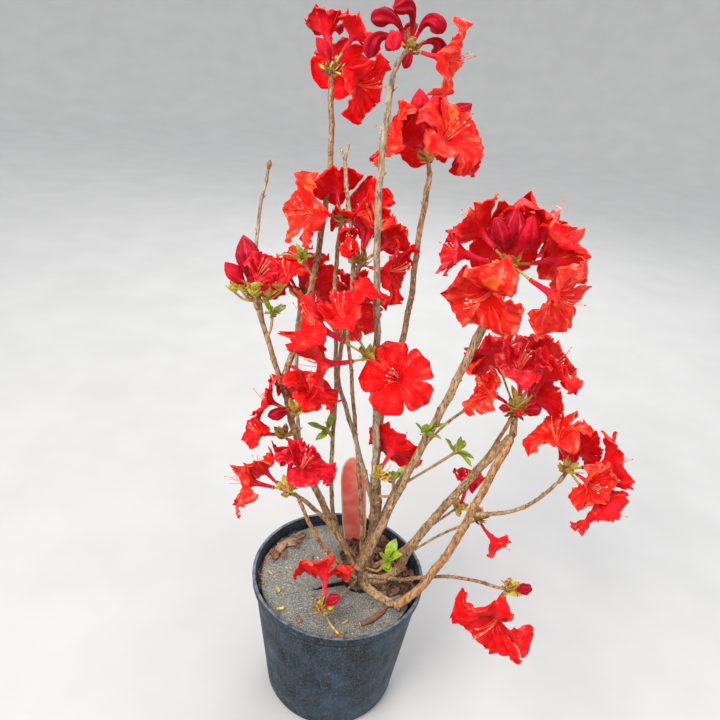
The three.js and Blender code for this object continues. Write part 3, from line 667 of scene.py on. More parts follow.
# Each tone's shades by name: the darker, middle and lighter colour of its patches
PETAL_SHADES = {
    # A tone's lighter and darker copies go to faces partly as painted highlight and painted shade on
    # the pleats
    "scarlet": ((230, 10, 16), (246, 22, 22), (252, 48, 38)),
    "scarlet_light": ((246, 40, 34), (253, 68, 54), (255, 100, 80)),
    "scarlet_deep": ((200, 2, 12), (216, 6, 14), (232, 18, 20)),
    "orange": ((246, 56, 32), (252, 82, 46), (254, 110, 68)),
    "orange_light": ((252, 88, 56), (254, 116, 82), (255, 146, 110)),
    "orange_deep": ((224, 14, 12), (238, 28, 18), (246, 46, 24)),
    "crimson": ((206, 12, 40), (224, 24, 48), (240, 50, 60)),
    "crimson_light": ((228, 46, 66), (242, 80, 88), (250, 116, 112)),
    "crimson_deep": ((160, 2, 30), (180, 8, 34), (200, 16, 42)),
    "rose": ((228, 30, 50), (242, 56, 62), (250, 92, 86)),
    "rose_light": ((242, 80, 76), (250, 110, 96), (254, 142, 120)),
    "rose_deep": ((198, 8, 40), (214, 18, 44), (230, 34, 52)),
    "blotch": ((250, 84, 30), (254, 106, 38), (255, 128, 54)),
    "back": ((222, 22, 46), (240, 38, 54), (248, 72, 74)),
    "tube": ((208, 38, 72), (232, 64, 92), (246, 112, 122)),
    "throat": ((222, 20, 62), (238, 44, 82), (250, 76, 100)),
    "bud": ((146, 6, 36), (176, 14, 50), (202, 34, 66)),
    "bud_bright": ((190, 8, 40), (216, 22, 54), (234, 52, 72)),
    "bud_seam": ((190, 36, 66), (216, 78, 98), (238, 126, 138)),
}
# Half-way shades between each tone and its lighter and darker one
for tone_name in TONES.values():
    for half_name, end_name in (("_bright", "_light"), ("_dim", "_deep")):
        pair = zip(PETAL_SHADES[tone_name], PETAL_SHADES[tone_name + end_name])
        PETAL_SHADES[tone_name + half_name] = tuple(
            tuple((a + b) / 2 for a, b in zip(*colours)) for colours in pair
        )
# Share of red, green and blue that is left in each shade of bark
BARK_DEPTH = (0.97, 0.92, 0.87)
# Noise drawn out into streaks along the stems
STREAK = (1, 1, 0.32)
FINE_STREAK = (1, 1, 0.3)


def petal_look(name, shades):
    """Soft petal: patches of a darker and a lighter tone, fine flecks and a crumpled surface."""
    deepen = LIGHTER_DEEPENED.get(name.split("_")[-1], 1)
    colours = [[v * share**deepen for v, share in zip(shade, PETAL_DEPTH)] for shade in shades]
    return dict(stops=dict(zip((0.3, 0.5, 0.7), colours)), scale=110,
                specks=[(460, 0.55, 0.75, colours[0])], roughness=0.55, bump=0.55, bump_scale=330,
                depth=0.0007, subsurface=0.12, specular=0.12)


def bark_look(scale, *shades, roughness=0.8, depth=0.0008):
    """Thin bark: streaks from dark to a pale bloom, pores of the last shade and a rough surface."""
    shades = [[v * share for v, share in zip(shade, BARK_DEPTH)] for shade in shades]
    dark, brown, tan, pale, pore = shades
    return dict(stops={0.28: dark, 0.42: brown, 0.58: tan, 0.76: pale}, scale=scale, stretch=STREAK,
                specks=[(620, 0.57, 0.64, pore), (300, 0.56, 0.66, dark), (380, 0.6, 0.68, pale)],
                roughness=roughness, bump=0.8, bump_scale=520, bump_stretch=FINE_STREAK, depth=depth)


def chip_look(dark, light):
    return dict(stops={0.3: dark, 0.7: light}, scale=220, roughness=0.85, bump=0.8, bump_scale=500,
                depth=0.0008)


LOOKS = {name: petal_look(name, shades) for name, shades in PETAL_SHADES.items()}
LOOKS |= {
    "filament": dict(stops={0.35: (226, 74, 52), 0.65: (255, 178, 128)}, scale=60, roughness=0.45,
                     bump=0.1, subsurface=0.1),
    "anther": dict(stops={0.3: (214, 160, 130), 0.7: (252, 232, 214)}, scale=500, roughness=0.7,
                   bump_scale=1500),
    "style_tip": dict(stops={0.3: (180, 40, 50), 0.7: (226, 120, 96)}, scale=500, roughness=0.5,
                      bump=0.2, bump_scale=1500),
    "scale": dict(stops={0.3: (150, 124, 50), 0.5: (198, 170, 78), 0.72: (228, 204, 134)}, scale=220,
                  bump=0.4, bump_scale=900, specks=[(600, 0.6, 0.74, (140, 84, 40))]),
    "husk": dict(stops={0.3: (100, 58, 34), 0.5: (152, 96, 58), 0.72: (196, 148, 96)}, scale=260,
                 roughness=0.8, bump=0.5, bump_scale=900),
    "leaf": dict(stops={0.3: (104, 136, 14), 0.5: (138, 166, 22), 0.7: (172, 194, 44)}, scale=140,
                 roughness=0.4, bump=0.35, bump_scale=420, subsurface=0.1,
                 specks=[(480, 0.58, 0.76, (84, 126, 24))]),
    "leaf_tip": dict(stops={0.3: (118, 146, 34), 0.7: (170, 168, 66)}, scale=160, roughness=0.45,
                     bump=0.35, bump_scale=420, subsurface=0.1),
    "leaf_back": dict(stops={0.3: (134, 152, 50), 0.7: (182, 192, 92)}, scale=140, bump_scale=420,
                      subsurface=0.1),
    "bract": dict(stops={0.3: (168, 152, 34), 0.5: (202, 184, 62), 0.72: (228, 208, 114)}, scale=200,
                  roughness=0.5, bump=0.45, bump_scale=500, subsurface=0.1,
                  specks=[(420, 0.6, 0.78, (186, 126, 56))]),
    "bract_tip": dict(stops={0.3: (186, 128, 56), 0.7: (222, 196, 110)}, scale=220, roughness=0.55,
                      bump=0.45, bump_scale=500, subsurface=0.1),
    "pedicel": dict(stops={0.3: (138, 140, 44), 0.55: (176, 170, 66), 0.75: (206, 190, 104)}, scale=200,
                    roughness=0.5, bump=0.4, bump_scale=700, subsurface=0.1),
    "young_twig": dict(stops={0.3: (140, 104, 60), 0.55: (178, 146, 90), 0.75: (196, 176, 112)},
                       scale=200, stretch=STREAK, bump=0.4, bump_scale=700),
    "tan": bark_look(240, (104, 80, 56), (150, 122, 88), (184, 157, 120), (214, 195, 164),
                     (80, 60, 44)),
    "grey": bark_look(240, (112, 98, 80), (152, 137, 114), (184, 169, 145), (212, 201, 182),
                      (92, 76, 60)),
    "orange_bark": bark_look(240, (116, 78, 48), (160, 118, 74), (190, 150, 102), (214, 184, 144),
                             (88, 60, 40), roughness=0.75),
    "crown_bark": bark_look(90, (70, 54, 40), (118, 94, 70), (154, 128, 98), (186, 162, 132),
                            (60, 44, 34), roughness=0.9, depth=0.0014),
    "peat": dict(stops={0.3: (16, 11, 9), 0.5: (34, 24, 18), 0.72: (66, 46, 34)}, scale=320,
                 roughness=0.95, bump=1.0, bump_scale=420, depth=0.002),
    "chip_dark": chip_look((50, 32, 26), (98, 66, 50)),
    "chip_brown": chip_look((92, 58, 42), (144, 100, 76)),
    "chip_tan": chip_look((134, 98, 72), (186, 150, 118)),
    "felt": dict(stops={0.3: (100, 103, 96), 0.5: (116, 118, 109), 0.7: (134, 134, 122)}, scale=45,
                 roughness=0.95, bump=0.9, bump_scale=1100, depth=0.0009, sheen=0.2,
                 specks=[(520, 0.53, 0.6, (84, 84, 78)), (600, 0.56, 0.63, (174, 172, 160)),
                         (760, 0.58, 0.64, (58, 56, 54))]),
    "felt_edge": dict(stops={0.3: (86, 84, 80), 0.7: (128, 126, 120)}, scale=300, roughness=0.95,
                      bump=1.0, bump_scale=700, depth=0.001),
    "label_red": dict(stops={0.35: (252, 106, 98), 0.5: (255, 130, 116), 0.65: (255, 156, 140)},
                      scale=55, roughness=0.35, bump=0.1, bump_scale=400),
    "label_cream": dict(stops={0.35: (232, 208, 160), 0.65: (244, 228, 190)}, scale=60,
                        roughness=0.35, bump=0.1, bump_scale=400),
    # Lighter top of the pot's rim: scuffed plastic and a painted highlight
    "pot_rim_scuffs_and_highlight": dict(stops={0.35: (50, 57, 64), 0.65: (108, 118, 128)}, scale=120, bump=0.4,
                     bump_scale=900),
    # Near-black band under the pot's lip: a painted shadow
    "pot_lip_painted_shadow": dict(stops={0.35: (6, 8, 10), 0.65: (16, 20, 24)}, scale=120, roughness=0.7,
                       bump=0.4, bump_scale=900),
    "cut_wood": dict(stops={0.35: (206, 184, 152), 0.65: (240, 228, 206)}, scale=300, roughness=0.7,
                     bump_scale=900),
    "floor": dict(stops={0.35: (182, 181, 179), 0.65: (187, 186, 184)}, scale=6, roughness=0.85,
                  bump=0.05, bump_scale=60),
}
FINISHES = {name: finish(name, **look) for name, look in LOOKS.items()}

# Haze, grime and scuffs on the pot, one over another: the noise's scale, stretch, detail and
# roughness, where it starts and where it is full, how much it then covers, and its colour
POT_MARKS = [
    (34, (1, 1, 0.4), 9, 0.75, 0.4, 0.72, 0.75, (62, 86, 108)),
    (620, (1, 1, 1), 3, 0.6, 0.56, 0.68, 0.7, (112, 124, 134)),
    (150, (1, 1, 0.35), 6, 0.7, 0.62, 0.74, 0.5, (136, 146, 156)),
]


def pot_finish():
    """Black moulded plastic with a fine grain, dusty scuffs and drip marks."""
    nodes = Nodes("pot_plastic")
    shades = [(0.3, linear(8, 11, 14)), (0.7, linear(20, 26, 32))]
    colour = nodes.ramp(nodes.noise(30, detail=6), shades)
    for scale, stretch, detail, roughness, low, high, most, shade in POT_MARKS:
        mark = nodes.noise(scale, stretch, detail, roughness)
        colour = nodes.cover(nodes.ramp(mark, [(low, grey(0)), (high, grey(most))]), colour, shade)
    nodes.link(colour, nodes.shader, "Base Color")
    gloss = nodes.ramp(nodes.noise(40, detail=5), [(0.3, grey(0.48)), (0.7, grey(0.7))])
    nodes.link(gloss, nodes.shader, "Roughness")
    nodes.shader.inputs["Specular IOR Level"].default_value = 0.3
    nodes.relief(nodes.noise(1400, detail=3), 0.35, 0.0003)
    return nodes.material


FINISHES["pot"] = pot_finish()


# Studio, in metres: the floor's flat middle and the bend at its end, and its points
FLOOR_FLAT = 4.5
FLOOR_BEND = 2.5
FLOOR_SIDES = 96
FLOOR_STEPS = 16
# Soft light from all sides, and the lamps: place, size, watts and colour
SKY_COLOUR = (0.94, 0.96, 1.0, 1)
SKY_STRENGTH = 1.15
LAMPS = {
    "key": ((-1.1, -1.3, 2.3), 1.4, 62, (1.0, 0.98, 0.95)),
    "fill": ((1.7, -1.2, 1.2), 1.6, 12, (0.95, 0.97, 1.0)),
    "back": ((0.4, 1.9, 1.9), 1.6, 26, (1.0, 1.0, 1.0)),
}
LAMPS_AIM = (0.04, 0, 0.45)


def make_camera():
    pitch, roll = math.radians(CAMERA_PITCH), math.radians(CAMERA_ROLL)
    ahead = np.array([0, math.cos(pitch), -math.sin(pitch)])
    right = np.array([1.0, 0, 0])
    up = np.cross(right, ahead)
    aside = math.cos(roll) * right + math.sin(roll) * up
    above = -math.sin(roll) * right + math.cos(roll) * up
    camera = linked("camera", bpy.data.cameras.new("camera"))
    camera.data.sensor_width = CAMERA_SENSOR
    camera.data.lens = CAMERA_LENS
    camera.data.clip_start = CAMERA_NEAR * MM
    turn = Matrix([[aside[k], above[k], -ahead[k]] for k in range(3)]).to_4x4()
    camera.matrix_world = Matrix.Translation([v * MM for v in CAMERA_AT]) @ turn
    bpy.context.scene.camera = camera


def make_lamp(name, place, size, watts, colour):
    """A round area light that faces the shrub."""
    data = bpy.data.lights.new(name, "AREA")
    data.shape = "DISK"
    data.size = size
    data.energy = watts
    data.color = colour
    turn = facing(-unit(np.array(LAMPS_AIM) - np.array(place)))
    linked(name, data).matrix_world = Matrix.Translation(place) @ Matrix(turn.tolist()).to_4x4()


def make_studio():
    """A pale floor that curves up far off on all sides, under soft studio lights."""
    arc = np.linspace(0, math.pi / 2, FLOOR_STEPS)
    radii = np.concatenate([[FLOOR_FLAT / 2], FLOOR_FLAT + FLOOR_BEND * np.sin(arc)])
    heights = np.concatenate([[0], FLOOR_BEND * (1 - np.cos(arc))])
    faces = [tuple(range(FLOOR_SIDES))] + bands(len(radii), FLOOR_SIDES, outward=False)
    points = rings(radii, heights, FLOOR_SIDES)
    floor = meshed("floor", points, faces, ["floor"], ["floor"] * len(faces))
    world = bpy.data.worlds.new("studio")
    bpy.context.scene.world = world
    world.use_nodes = True
    background = world.node_tree.nodes["Background"]
    background.inputs["Color"].default_value = SKY_COLOUR
    background.inputs["Strength"].default_value = SKY_STRENGTH
    for name, lamp in LAMPS.items():
        make_lamp(name, *lamp)
    bpy.context.scene.view_settings.view_transform = "Standard"


make_camera()
make_studio()


# Trunk and boughs: each limb is a tapered tube with a rounded tip. Away from its ends it kinks
# from node to node and sways, and its bark swells at the nodes, flares at the foot and is ridged.
BARK = {"tan": "tan", "grey": "grey", "orange": "orange_bark", "crown": "crown_bark"}
RING_STEP = 2.0
TIP_LENGTH = 7
TIP_NEAR = 12
LOOSE_LENGTH = 25
NODE_SPACING = (17, 34)
NODE_TO_TIP = 8
KINK = 0.9
KINK_SHARES = (0.4, 1)
SWAY = 0.9
SWAY_LENGTH = 70
SWELLING = 0.13
SWELLING_LENGTH = 2.2
FLARE = 0.45
FLARE_LENGTH = 7
BROAD_RIDGE = 0.05
FINE_RIDGE = 0.03
BARK_GRAIN = 0.022
THICK_LIMB = 3.5
# Spurs: how many nodes have one, and their lengths with the share of each
SPUR_CHANCE = 0.62
SPUR_LENGTHS = [3.2, 4.5, 7.5]
SPUR_SHARES = [0.5, 0.35, 0.15]
# The bud on the bare stem, and where each dry prong leans, with its length
END_BUD_SIZE = 0.8
DRY_PRONGS = [((1, 0.4, 0), 13), ((-1, -0.4, 0), 8)]

bark = Piece("bark", list(BARK.values()))
twigs = Piece("twigs", ["young_twig", "husk", *BARK.values()])


def bark_limb(name, path, radius, kind):
    """Adds a limb and its spurs; gives its tip and the way the tip points."""
    seed = sum(name.encode())
    rng = np.random.default_rng(seed)
    length = path_length(path)
    count = max(8, int(length / RING_STEP))
    centres = smooth_path(path, count)
    along = np.linspace(0, length, count + 1)
    loose = soft_step(along, 0, LOOSE_LENGTH) * soft_step(length - along, 0, LOOSE_LENGTH)
    tangents, normals, binormals = frames_along(centres)
    thick = radius[0] + (radius[1] - radius[0]) * along / length
    thick = thick * np.sqrt(1 - np.clip((along - length) / TIP_LENGTH + 1, 0, 0.95) ** 2)
    nodes = []
    at = rng.uniform(*NODE_SPACING)
    while at < length - NODE_TO_TIP:
        nodes.append(at)
        at += rng.uniform(*NODE_SPACING)
    kinks = [KINK * (-1) ** i * rng.uniform(*KINK_SHARES) for i in range(len(nodes))]
    kink = np.interp(along, [0, *nodes, length], [0, *kinks, 0])
    sway = SWAY * ripple(centres, SWAY_LENGTH, seed + 1)
    centres = centres + normals * (kink * loose)[:, None] + binormals * (sway * loose)[:, None]
    swell = np.zeros(count + 1)
    for node in nodes:
        swell = swell + SWELLING * np.exp(-(((along - node) / SWELLING_LENGTH) ** 2))
    flare = FLARE * np.exp(-along / FLARE_LENGTH)
    sides = 16 if radius[0] > THICK_LIMB else 12
    angles, up = angles_round(sides), along[:, None]
    ridges = BROAD_RIDGE * np.sin(3 * angles + up * 0.021 + seed)
    ridges += FINE_RIDGE * np.sin(7 * angles - up * 0.05)
    rough = rng.normal(0, BARK_GRAIN, (count + 1, sides))
    rough = (rough + np.roll(rough, 1, 0) + np.roll(rough, 1, 1)) / 1.6
    relief = 1 + (swell + flare)[:, None] + ridges + rough
    bark.add(*tube(centres, thick, sides, relief), BARK[kind])
    for node in nodes:
        k = min(count - 1, int(node / length * count))
        if rng.random() < SPUR_CHANCE:
            spur(centres[k], tangents[k], normals[k], binormals[k], thick[k], rng)
    return centres[-1], tangents[-1]


def spur(centre, tangent, normal, binormal, thick, rng):
    """A short stub or sleeping bud that stands off a node."""
    angle = rng.uniform(*ANY_TURN)
    out = normal * math.cos(angle) + binormal * math.sin(angle)
    ahead = unit(out + tangent * rng.uniform(0.6, 1.4))
    length = rng.choice(SPUR_LENGTHS, p=SPUR_SHARES)
    rows = np.linspace(0, 1, 6)
    centres = centre + out * thick * 0.6 + np.outer(rows * length, ahead)
    fat = 0.8 if length == SPUR_LENGTHS[-1] else 1.25
    radii = fat * np.interp(rows, [0, 0.35, 0.75, 1], [0.9, 1, 0.72, 0.12])
    twigs.add(*tube(centres, radii, 7), "young_twig" if rng.random() < 0.5 else "husk")


def end_bud(tip, ahead, size):
    """A sleeping bud at the end of a bare stem."""
    rows = np.linspace(0, 1, 9)
    centres = tip + np.outer(rows * 13 * size - 2, ahead)
    radii = 3.4 * size * np.interp(rows, [0, 0.2, 0.5, 0.8, 1], [0.6, 0.75, 1, 0.6, 0.06])
    twigs.add(*tube(centres, radii, 10), "husk")
    lean = facing(unit(np.array([0.25, 0, 1.0])))
    grid = blade_grid(9 * size, 5 * size, fold=0.1, bend=-0.35)
    for i in range(6):
        turn = facing(ahead, i * 2.4)
        twigs.add(*sheet_solid(grid @ lean.T @ turn.T + tip - ahead * 1.5, 0.3), "husk")


def dry_fork(tip, ahead):
    """The two dead prongs at the end of a stem that has died back."""
    for aside, length in DRY_PRONGS:
        way = unit(ahead + 0.55 * np.array(aside, float))
        points = [tip - ahead * 4, tip + way * length * 0.5, tip + way * length + ahead * 3]
        prong = smooth_path(points, 6)
        twigs.add(*tube(prong, np.array([2, 1.9, 1.6, 1.5, 1.4, 1.5, 0.6]), 8), "grey")
        twigs.add(*tube(prong[-2:] + ahead, np.array([1.5, 0.9]), 8), "young_twig")


# Half width of a leaf or scale from foot to tip, as places and shares
BLADE_AT = [0, 0.15, 0.4, 0.6, 0.8, 0.93, 1]
BLADE_WIDTH = [0.1, 0.4, 0.86, 1, 0.72, 0.32, 0.03]


def blade_grid(length, width, fold=0.25, bend=0.25, rows=9, columns=5):
    """A leaf or scale along +Z, its width along X, folded along the middle and bent towards -Y."""
    along = np.linspace(0, 1, rows)
    across = np.linspace(-1, 1, columns)
    half = width / 2 * np.interp(along, BLADE_AT, BLADE_WIDTH)
    angle = bend * along
    z = length * running(np.cos(angle[1:]) * np.diff(along))
    y = -length * running(np.sin(angle[1:]) * np.diff(along))
    grid = np.zeros((rows, columns, 3))
    grid[:, :, 0] = half[:, None] * across
    grid[:, :, 1] = y[:, None] + fold * half[:, None] * np.abs(across)
    grid[:, :, 2] = z[:, None]
    return grid


for limb_name, limb in LIMBS.items():
    limb_tip, limb_ahead = bark_limb(limb_name, *limb)
    if limb_name == "stem_left_bare":
        end_bud(limb_tip, limb_ahead, END_BUD_SIZE)
    if limb_name == "stem_dead_top":
        dry_fork(limb_tip, limb_ahead)

# Lumps of the crown, as sizes and heights
CROWN_LUMPS = ((22, 2.2), (8, 0.9), (3.5, 0.35))


def make_crown():
    """Gnarled stump with a flared foot."""
    x, y = CROWN_CENTRE
    rows, sides = 60, 64
    path = [(x, y, FILL_TOP - CROWN_SUNK), (x + 1, y, FILL_TOP + 14), (x + 3, y + 2, CROWN_TOP)]
    centres = smooth_path(path, rows)
    radii = CROWN_FOOT_RADIUS + (CROWN_TOP_RADIUS - CROWN_FOOT_RADIUS) * np.linspace(0, 1, rows + 1)
    points, faces = tube(centres, radii, sides)
    aside = points[:, :2] - np.repeat(centres[:, :2], sides, axis=0)
    scale = 1 + lumps_of(points, CROWN_LUMPS, 5) / np.maximum(np.linalg.norm(aside, axis=1), 1)
    points[:, :2] += aside * (scale - 1)[:, None]
    bark.add(points, faces, "crown_bark")


make_crown()


# Flowers: one closed thin shell each, a tube that flares into five broad ruffled lobes
SPANS = 15
TUBE_STRIDE = 3
TUBE_ROWS = (-1, -0.76, -0.56, -0.42)
THROAT_ROWS = (-0.32, -0.23, -0.15, -0.07, 0)
LOBE_ROWS = (0.06, 0.12, 0.19, 0.27, 0.35, 0.44, 0.53, 0.62, 0.7, 0.77, 0.83, 0.88, 0.92, 0.955,
             0.98, 1)
ACROSS = np.linspace(-1, 1, SPANS + 1)
RING_COLUMNS = LOBES * SPANS

# Along a lobe, from the foot of the tube at -1 by the notch at 0 to the tip at 1: distance from
# the axis and height of its middle, how far its edges lag behind that, and half its width
PROFILE_AT = [-1, -0.8, -0.6, -0.45, -0.32, -0.2, -0.1, 0, 0.12, 0.3, 0.5, 0.7, 0.85, 1]
PROFILE_RADIUS = [1.6, 1.8, 2.1, 2.5, 3.2, 5.3, 9.2, 15, 19.5, 25.4, 31.4, 36.6, 40, 43]
PROFILE_HEIGHT = [0, 6, 12, 17, 21.5, 25.6, 28.6, 31, 33.4, 35.4, 36.2, 35.8, 34.6, 32.6]
EDGE_AT = [-1, 0, 0.1, 0.22, 0.36, 0.5, 0.64, 0.78, 0.88, 0.95, 0.98, 1]
EDGE_LAG = [0.19, 0.19, 0.14, 0.08, 0.03, 0.01, 0.02, 0.045, 0.06, 0.06, 0.05, 0.04]
HALF_WIDTH = [0, 8.8, 13.5, 17, 19.6, 20.6, 20.2, 17.4, 13.6, 9.4, 6.6, 2.6]

# Reliefs of a lobe: ruffled edges, pleats that fan out over it, its groove, and how it lies
# over the next lobe
RUFFLE_CYCLES = (2.2, 3.4)
RUFFLE = 2.3
RUFFLE_FINE = 0.6
PLEAT_CYCLES = (1.2, 1.9)
PLEAT = 0.8
GROOVE = 1.7
OVERLAP = 1.3
TIP_WAVE = 1.4
BUMPS = ((11, 0.5), (6, 0.3))
# How flowers and lobes differ: width and length, the fold and cup of a lobe, the twist and droop
# of its tip, and how far a flower bows aside
FLOWER_WIDTHS = (-0.06, 0.1)
LOBE_WIDTHS = (-0.07, 0.05)
LOBE_LENGTHS = (-0.06, 0.02)
LOBE_FOLDS = (-0.1, 0.42)
LOBE_CUPS = (-2.5, 2)
TIP_TWISTS = (-6, 6)
TIP_DROOPS = (0, 9)
BOW = 2.4
# Shades of a petal's front and back, from the value where each starts, and how far they scatter. The
# value is partly painted light: raised on pleat ridges as painted highlight, lowered in pleat valleys
# as painted shade
FRONT_LIGHTER = {"_bright": 0.4, "_light": 0.8}
FRONT_DARKER = {"_dim": -0.4, "_deep": -0.75}
BACK_LIGHTER = {"_bright": 0.6, "_light": 1}
SHADE_SCATTER = 0.13
# Orange blotch on the upper lobe: its ends, its middle, and its reach along and across
BLOTCH_ENDS = (-0.12, 0.62)
BLOTCH_MIDDLE = 0.26
BLOTCH_REACH = (0.36, 0.4)
# Which piece a flower's petals go to: those far back, then those to the left, then the rest
FAR_FROM = 60
LEFT_TO = 60

# Thickness along a bud from stalk to tip, as places and shares
SPINDLE_BUD = ([0, 0.1, 0.22, 0.36, 0.5, 0.64, 0.8, 0.91, 0.97, 1],
               [0.26, 0.31, 0.44, 0.7, 0.92, 0.98, 0.72, 0.4, 0.17, 0.04])
HOOKED_BUD = ([0, 0.12, 0.26, 0.42, 0.56, 0.7, 0.84, 0.93, 0.98, 1],
              [0.19, 0.22, 0.27, 0.38, 0.6, 0.8, 0.76, 0.52, 0.26, 0.06])


def corolla_layout():
    """Lobe, place across and place along of a layer's points, its faces and its free edges."""
    lobe, across, along, starts, faces = [], [], [], [], []
    rows = [(t, TUBE_STRIDE) for t in TUBE_ROWS] + [(t, 1) for t in THROAT_ROWS]
    for t, stride in rows:
        starts.append(len(lobe))
        for c in range(0, RING_COLUMNS, stride):
            lobe.append(c // SPANS)
            across.append(ACROSS[c % SPANS])
            along.append(t)
    for (_, stride), (_, finer), a, b in zip(rows, rows[1:], starts, starts[1:]):
        columns = RING_COLUMNS // stride
        for c in range(columns):
            d = (c + 1) % columns
            if stride == finer:
                faces.append((a + c, b + c, b + d, a + d))
                continue
            fine = [b + (TUBE_STRIDE * c + k) % RING_COLUMNS for k in range(TUBE_STRIDE + 1)]
            faces.append((a + c, fine[0], fine[1]))
            faces.append((a + c, fine[1], fine[2], a + d))
            faces.append((a + d, fine[2], fine[3]))
    last_ring, ring = starts[-1], len(lobe)
    for k in range(LOBES):
        for t in LOBE_ROWS:
            lobe += [k] * (SPANS + 1)
            across += list(ACROSS)
            along += [t] * (SPANS + 1)

    def at(k, row, column):
        """Point of lobe k, where row 0 is the ring's last row."""
        if row == 0:
            return last_ring + (k * SPANS + column) % RING_COLUMNS
        return ring + (k * len(LOBE_ROWS) + row - 1) * (SPANS + 1) + column

    margins = []
    rows = range(len(LOBE_ROWS) + 1)
    for k in range(LOBES):
        for row in rows[:-1]:
            for column in range(SPANS):
                faces.append((at(k, row, column), at(k, row + 1, column),
                              at(k, row + 1, column + 1), at(k, row, column + 1)))
        margin = [at(k, row, 0) for row in rows]
        margin += [at(k, rows[-1], column) for column in range(1, SPANS)]
        margin += [at(k, row, SPANS) for row in reversed(rows)]
        margins += list(zip(margin, margin[1:]))
    columns = RING_COLUMNS // TUBE_STRIDE
    margins += [((c + 1) % columns, c) for c in range(columns)]
    return np.array(lobe), np.array(across), np.array(along), faces, margins


LOBE_OF, ACROSS_OF, ALONG_OF, LAYER_FACES, LAYER_MARGINS = corolla_layout()
FIRST_OF = np.array([face[0] for face in LAYER_FACES])
FACE_LOBE = LOBE_OF[FIRST_OF]
FACE_ACROSS = ACROSS_OF[FIRST_OF] + 1 / SPANS
FACE_ALONG = np.array([ALONG_OF[list(face)].mean() for face in LAYER_FACES])


def bowed(points, length, bow):
    """Bends what lies along +Z a little to one side, back at its axis after a length."""
    share = np.clip(points[:, 2] / length, 0, 1)
    return points + np.sin(math.pi * share)[:, None] * bow


def corolla_points(size, stalk, openness, rng, walls, crumple):
    """One layer of a flower's points, with its truss's middle at the origin and its face to +Z."""
    lobe, across, along = LOBE_OF, ACROSS_OF, ALONG_OF
    curls, waves, leans = np.array([[swing(rng, LOBE_WAVE) for _ in range(3)] for _ in range(LOBES)]).T
    draw = np.random.default_rng(crumple)

    def each(span, group=lobe):
        """A number in a span for each lobe or notch, at all its points."""
        return draw.uniform(*span, LOBES)[group]

    pleat = np.cos(FULL_TURN * each(PLEAT_CYCLES) * across + each(ANY_TURN))
    radius = np.interp(along, PROFILE_AT, PROFILE_RADIUS)
    height = np.interp(along, PROFILE_AT, PROFILE_HEIGHT)
    lag = np.interp(along, EDGE_AT, EDGE_LAG)
    ring = along <= 0
    lobed = soft_step(along, 0, 0.3)
    tips = soft_step(along, 0.2, 1)
    edge = np.abs(across)
    wide = 1 + (each(LOBE_WIDTHS) + draw.uniform(*FLOWER_WIDTHS)) * lobed
    half = np.interp(along, EDGE_AT, HALF_WIDTH) * wide
    half = np.where(ring, radius * math.sin(math.pi / LOBES), half)
    long = 1 + each(LOBE_LENGTHS) * tips
    reach = np.where(radius > FLARE_RADIUS, radius * openness, radius) * long
    half = np.where(ring, half * reach / radius, half * (0.35 + 0.65 * openness))
    forward = reach * (1 - lag * across**2)
    height += (1 - openness) * np.maximum(radius - FLARE_RADIUS, 0) * CLOSING_RISE

    notch = (lobe + (across > 0)) % LOBES
    cycles, starts = FULL_TURN * each(RUFFLE_CYCLES, notch), each(ANY_TURN, notch)
    calm = openness**1.6
    ruffled = calm * lobed
    height += RUFFLE * ruffled * edge**2.4 * np.sin(cycles * along + starts)
    height += RUFFLE_FINE * ruffled * edge**3.5 * np.sin(1.6 * cycles * along + 2 * starts)
    tip_wave = np.sin(4.5 * across + each(ANY_TURN))
    height += TIP_WAVE * calm * soft_step(along, 0.7, 1) * tip_wave
    height += PLEAT * ruffled * (1 - edge**3) * pleat
    height -= GROOVE * lobed * np.exp(-((across / 0.13) ** 2)) * (1 - 0.6 * tips)
    height += OVERLAP * across * soft_step(along, 0, 0.1)
    height += each(LOBE_FOLDS) * edge * half * lobed
    height += each(LOBE_CUPS) * lobed * across**2
    height += each(TIP_TWISTS) * calm * across * tips**2
    height -= each(TIP_DROOPS) * soft_step(along, 0.5, 1) ** 1.4
    height += curls[lobe] * tips - waves[lobe] * across * lobed
    sideways = half * across + leans[lobe] * tips**2

    angle = FULL_TURN * lobe / LOBES
    x = (forward * np.cos(angle) - sideways * np.sin(angle)) * size
    y = (forward * np.sin(angle) + sideways * np.cos(angle)) * size
    z = stalk + height * size
    for wall in walls:
        ahead = wall[2] * z
        aside = wall[0] * x + wall[1] * y
        behind = (ahead + aside < WALL_MARGIN) & (np.abs(aside) > 1e-6)
        share = np.where(behind, np.clip((WALL_MARGIN - ahead) / np.where(behind, aside, 1), 0, 1), 1)
        z = z + np.hypot(x, y) * (1 - share) * WALL_LIFT
        x, y = x * share, y * share
    points = np.stack([x, y, z], axis=1)
    points[:, 2] += np.where(ring, 0.1, 1.0) * lumps_of(points, BUMPS, crumple + 1)
    return points, pleat


def shell(points, thickness):
    """Both layers of a corolla and its rim, with the middle of each of the front layer's faces."""
    total = np.zeros_like(points)
    middles = np.zeros((len(LAYER_FACES), 3))
    for corners in (3, 4):
        which = [i for i, face in enumerate(LAYER_FACES) if len(face) == corners]
        faces = np.array([LAYER_FACES[i] for i in which])
        spots = points[faces]
        normals = np.cross(spots[:, 2] - spots[:, 0], spots[:, -1] - spots[:, 1])
        middles[which] = spots.mean(axis=1)
        for k in range(corners):
            np.add.at(total, faces[:, k], normals)
    total /= np.linalg.norm(total, axis=1)[:, None] + 1e-9
    count = len(points)
    both = list(LAYER_FACES) + [tuple(i + count for i in reversed(face)) for face in LAYER_FACES]
    both += [(a, a + count, b + count, b) for a, b in LAYER_MARGINS]
    return np.vstack([points, points - total * thickness]), both, middles


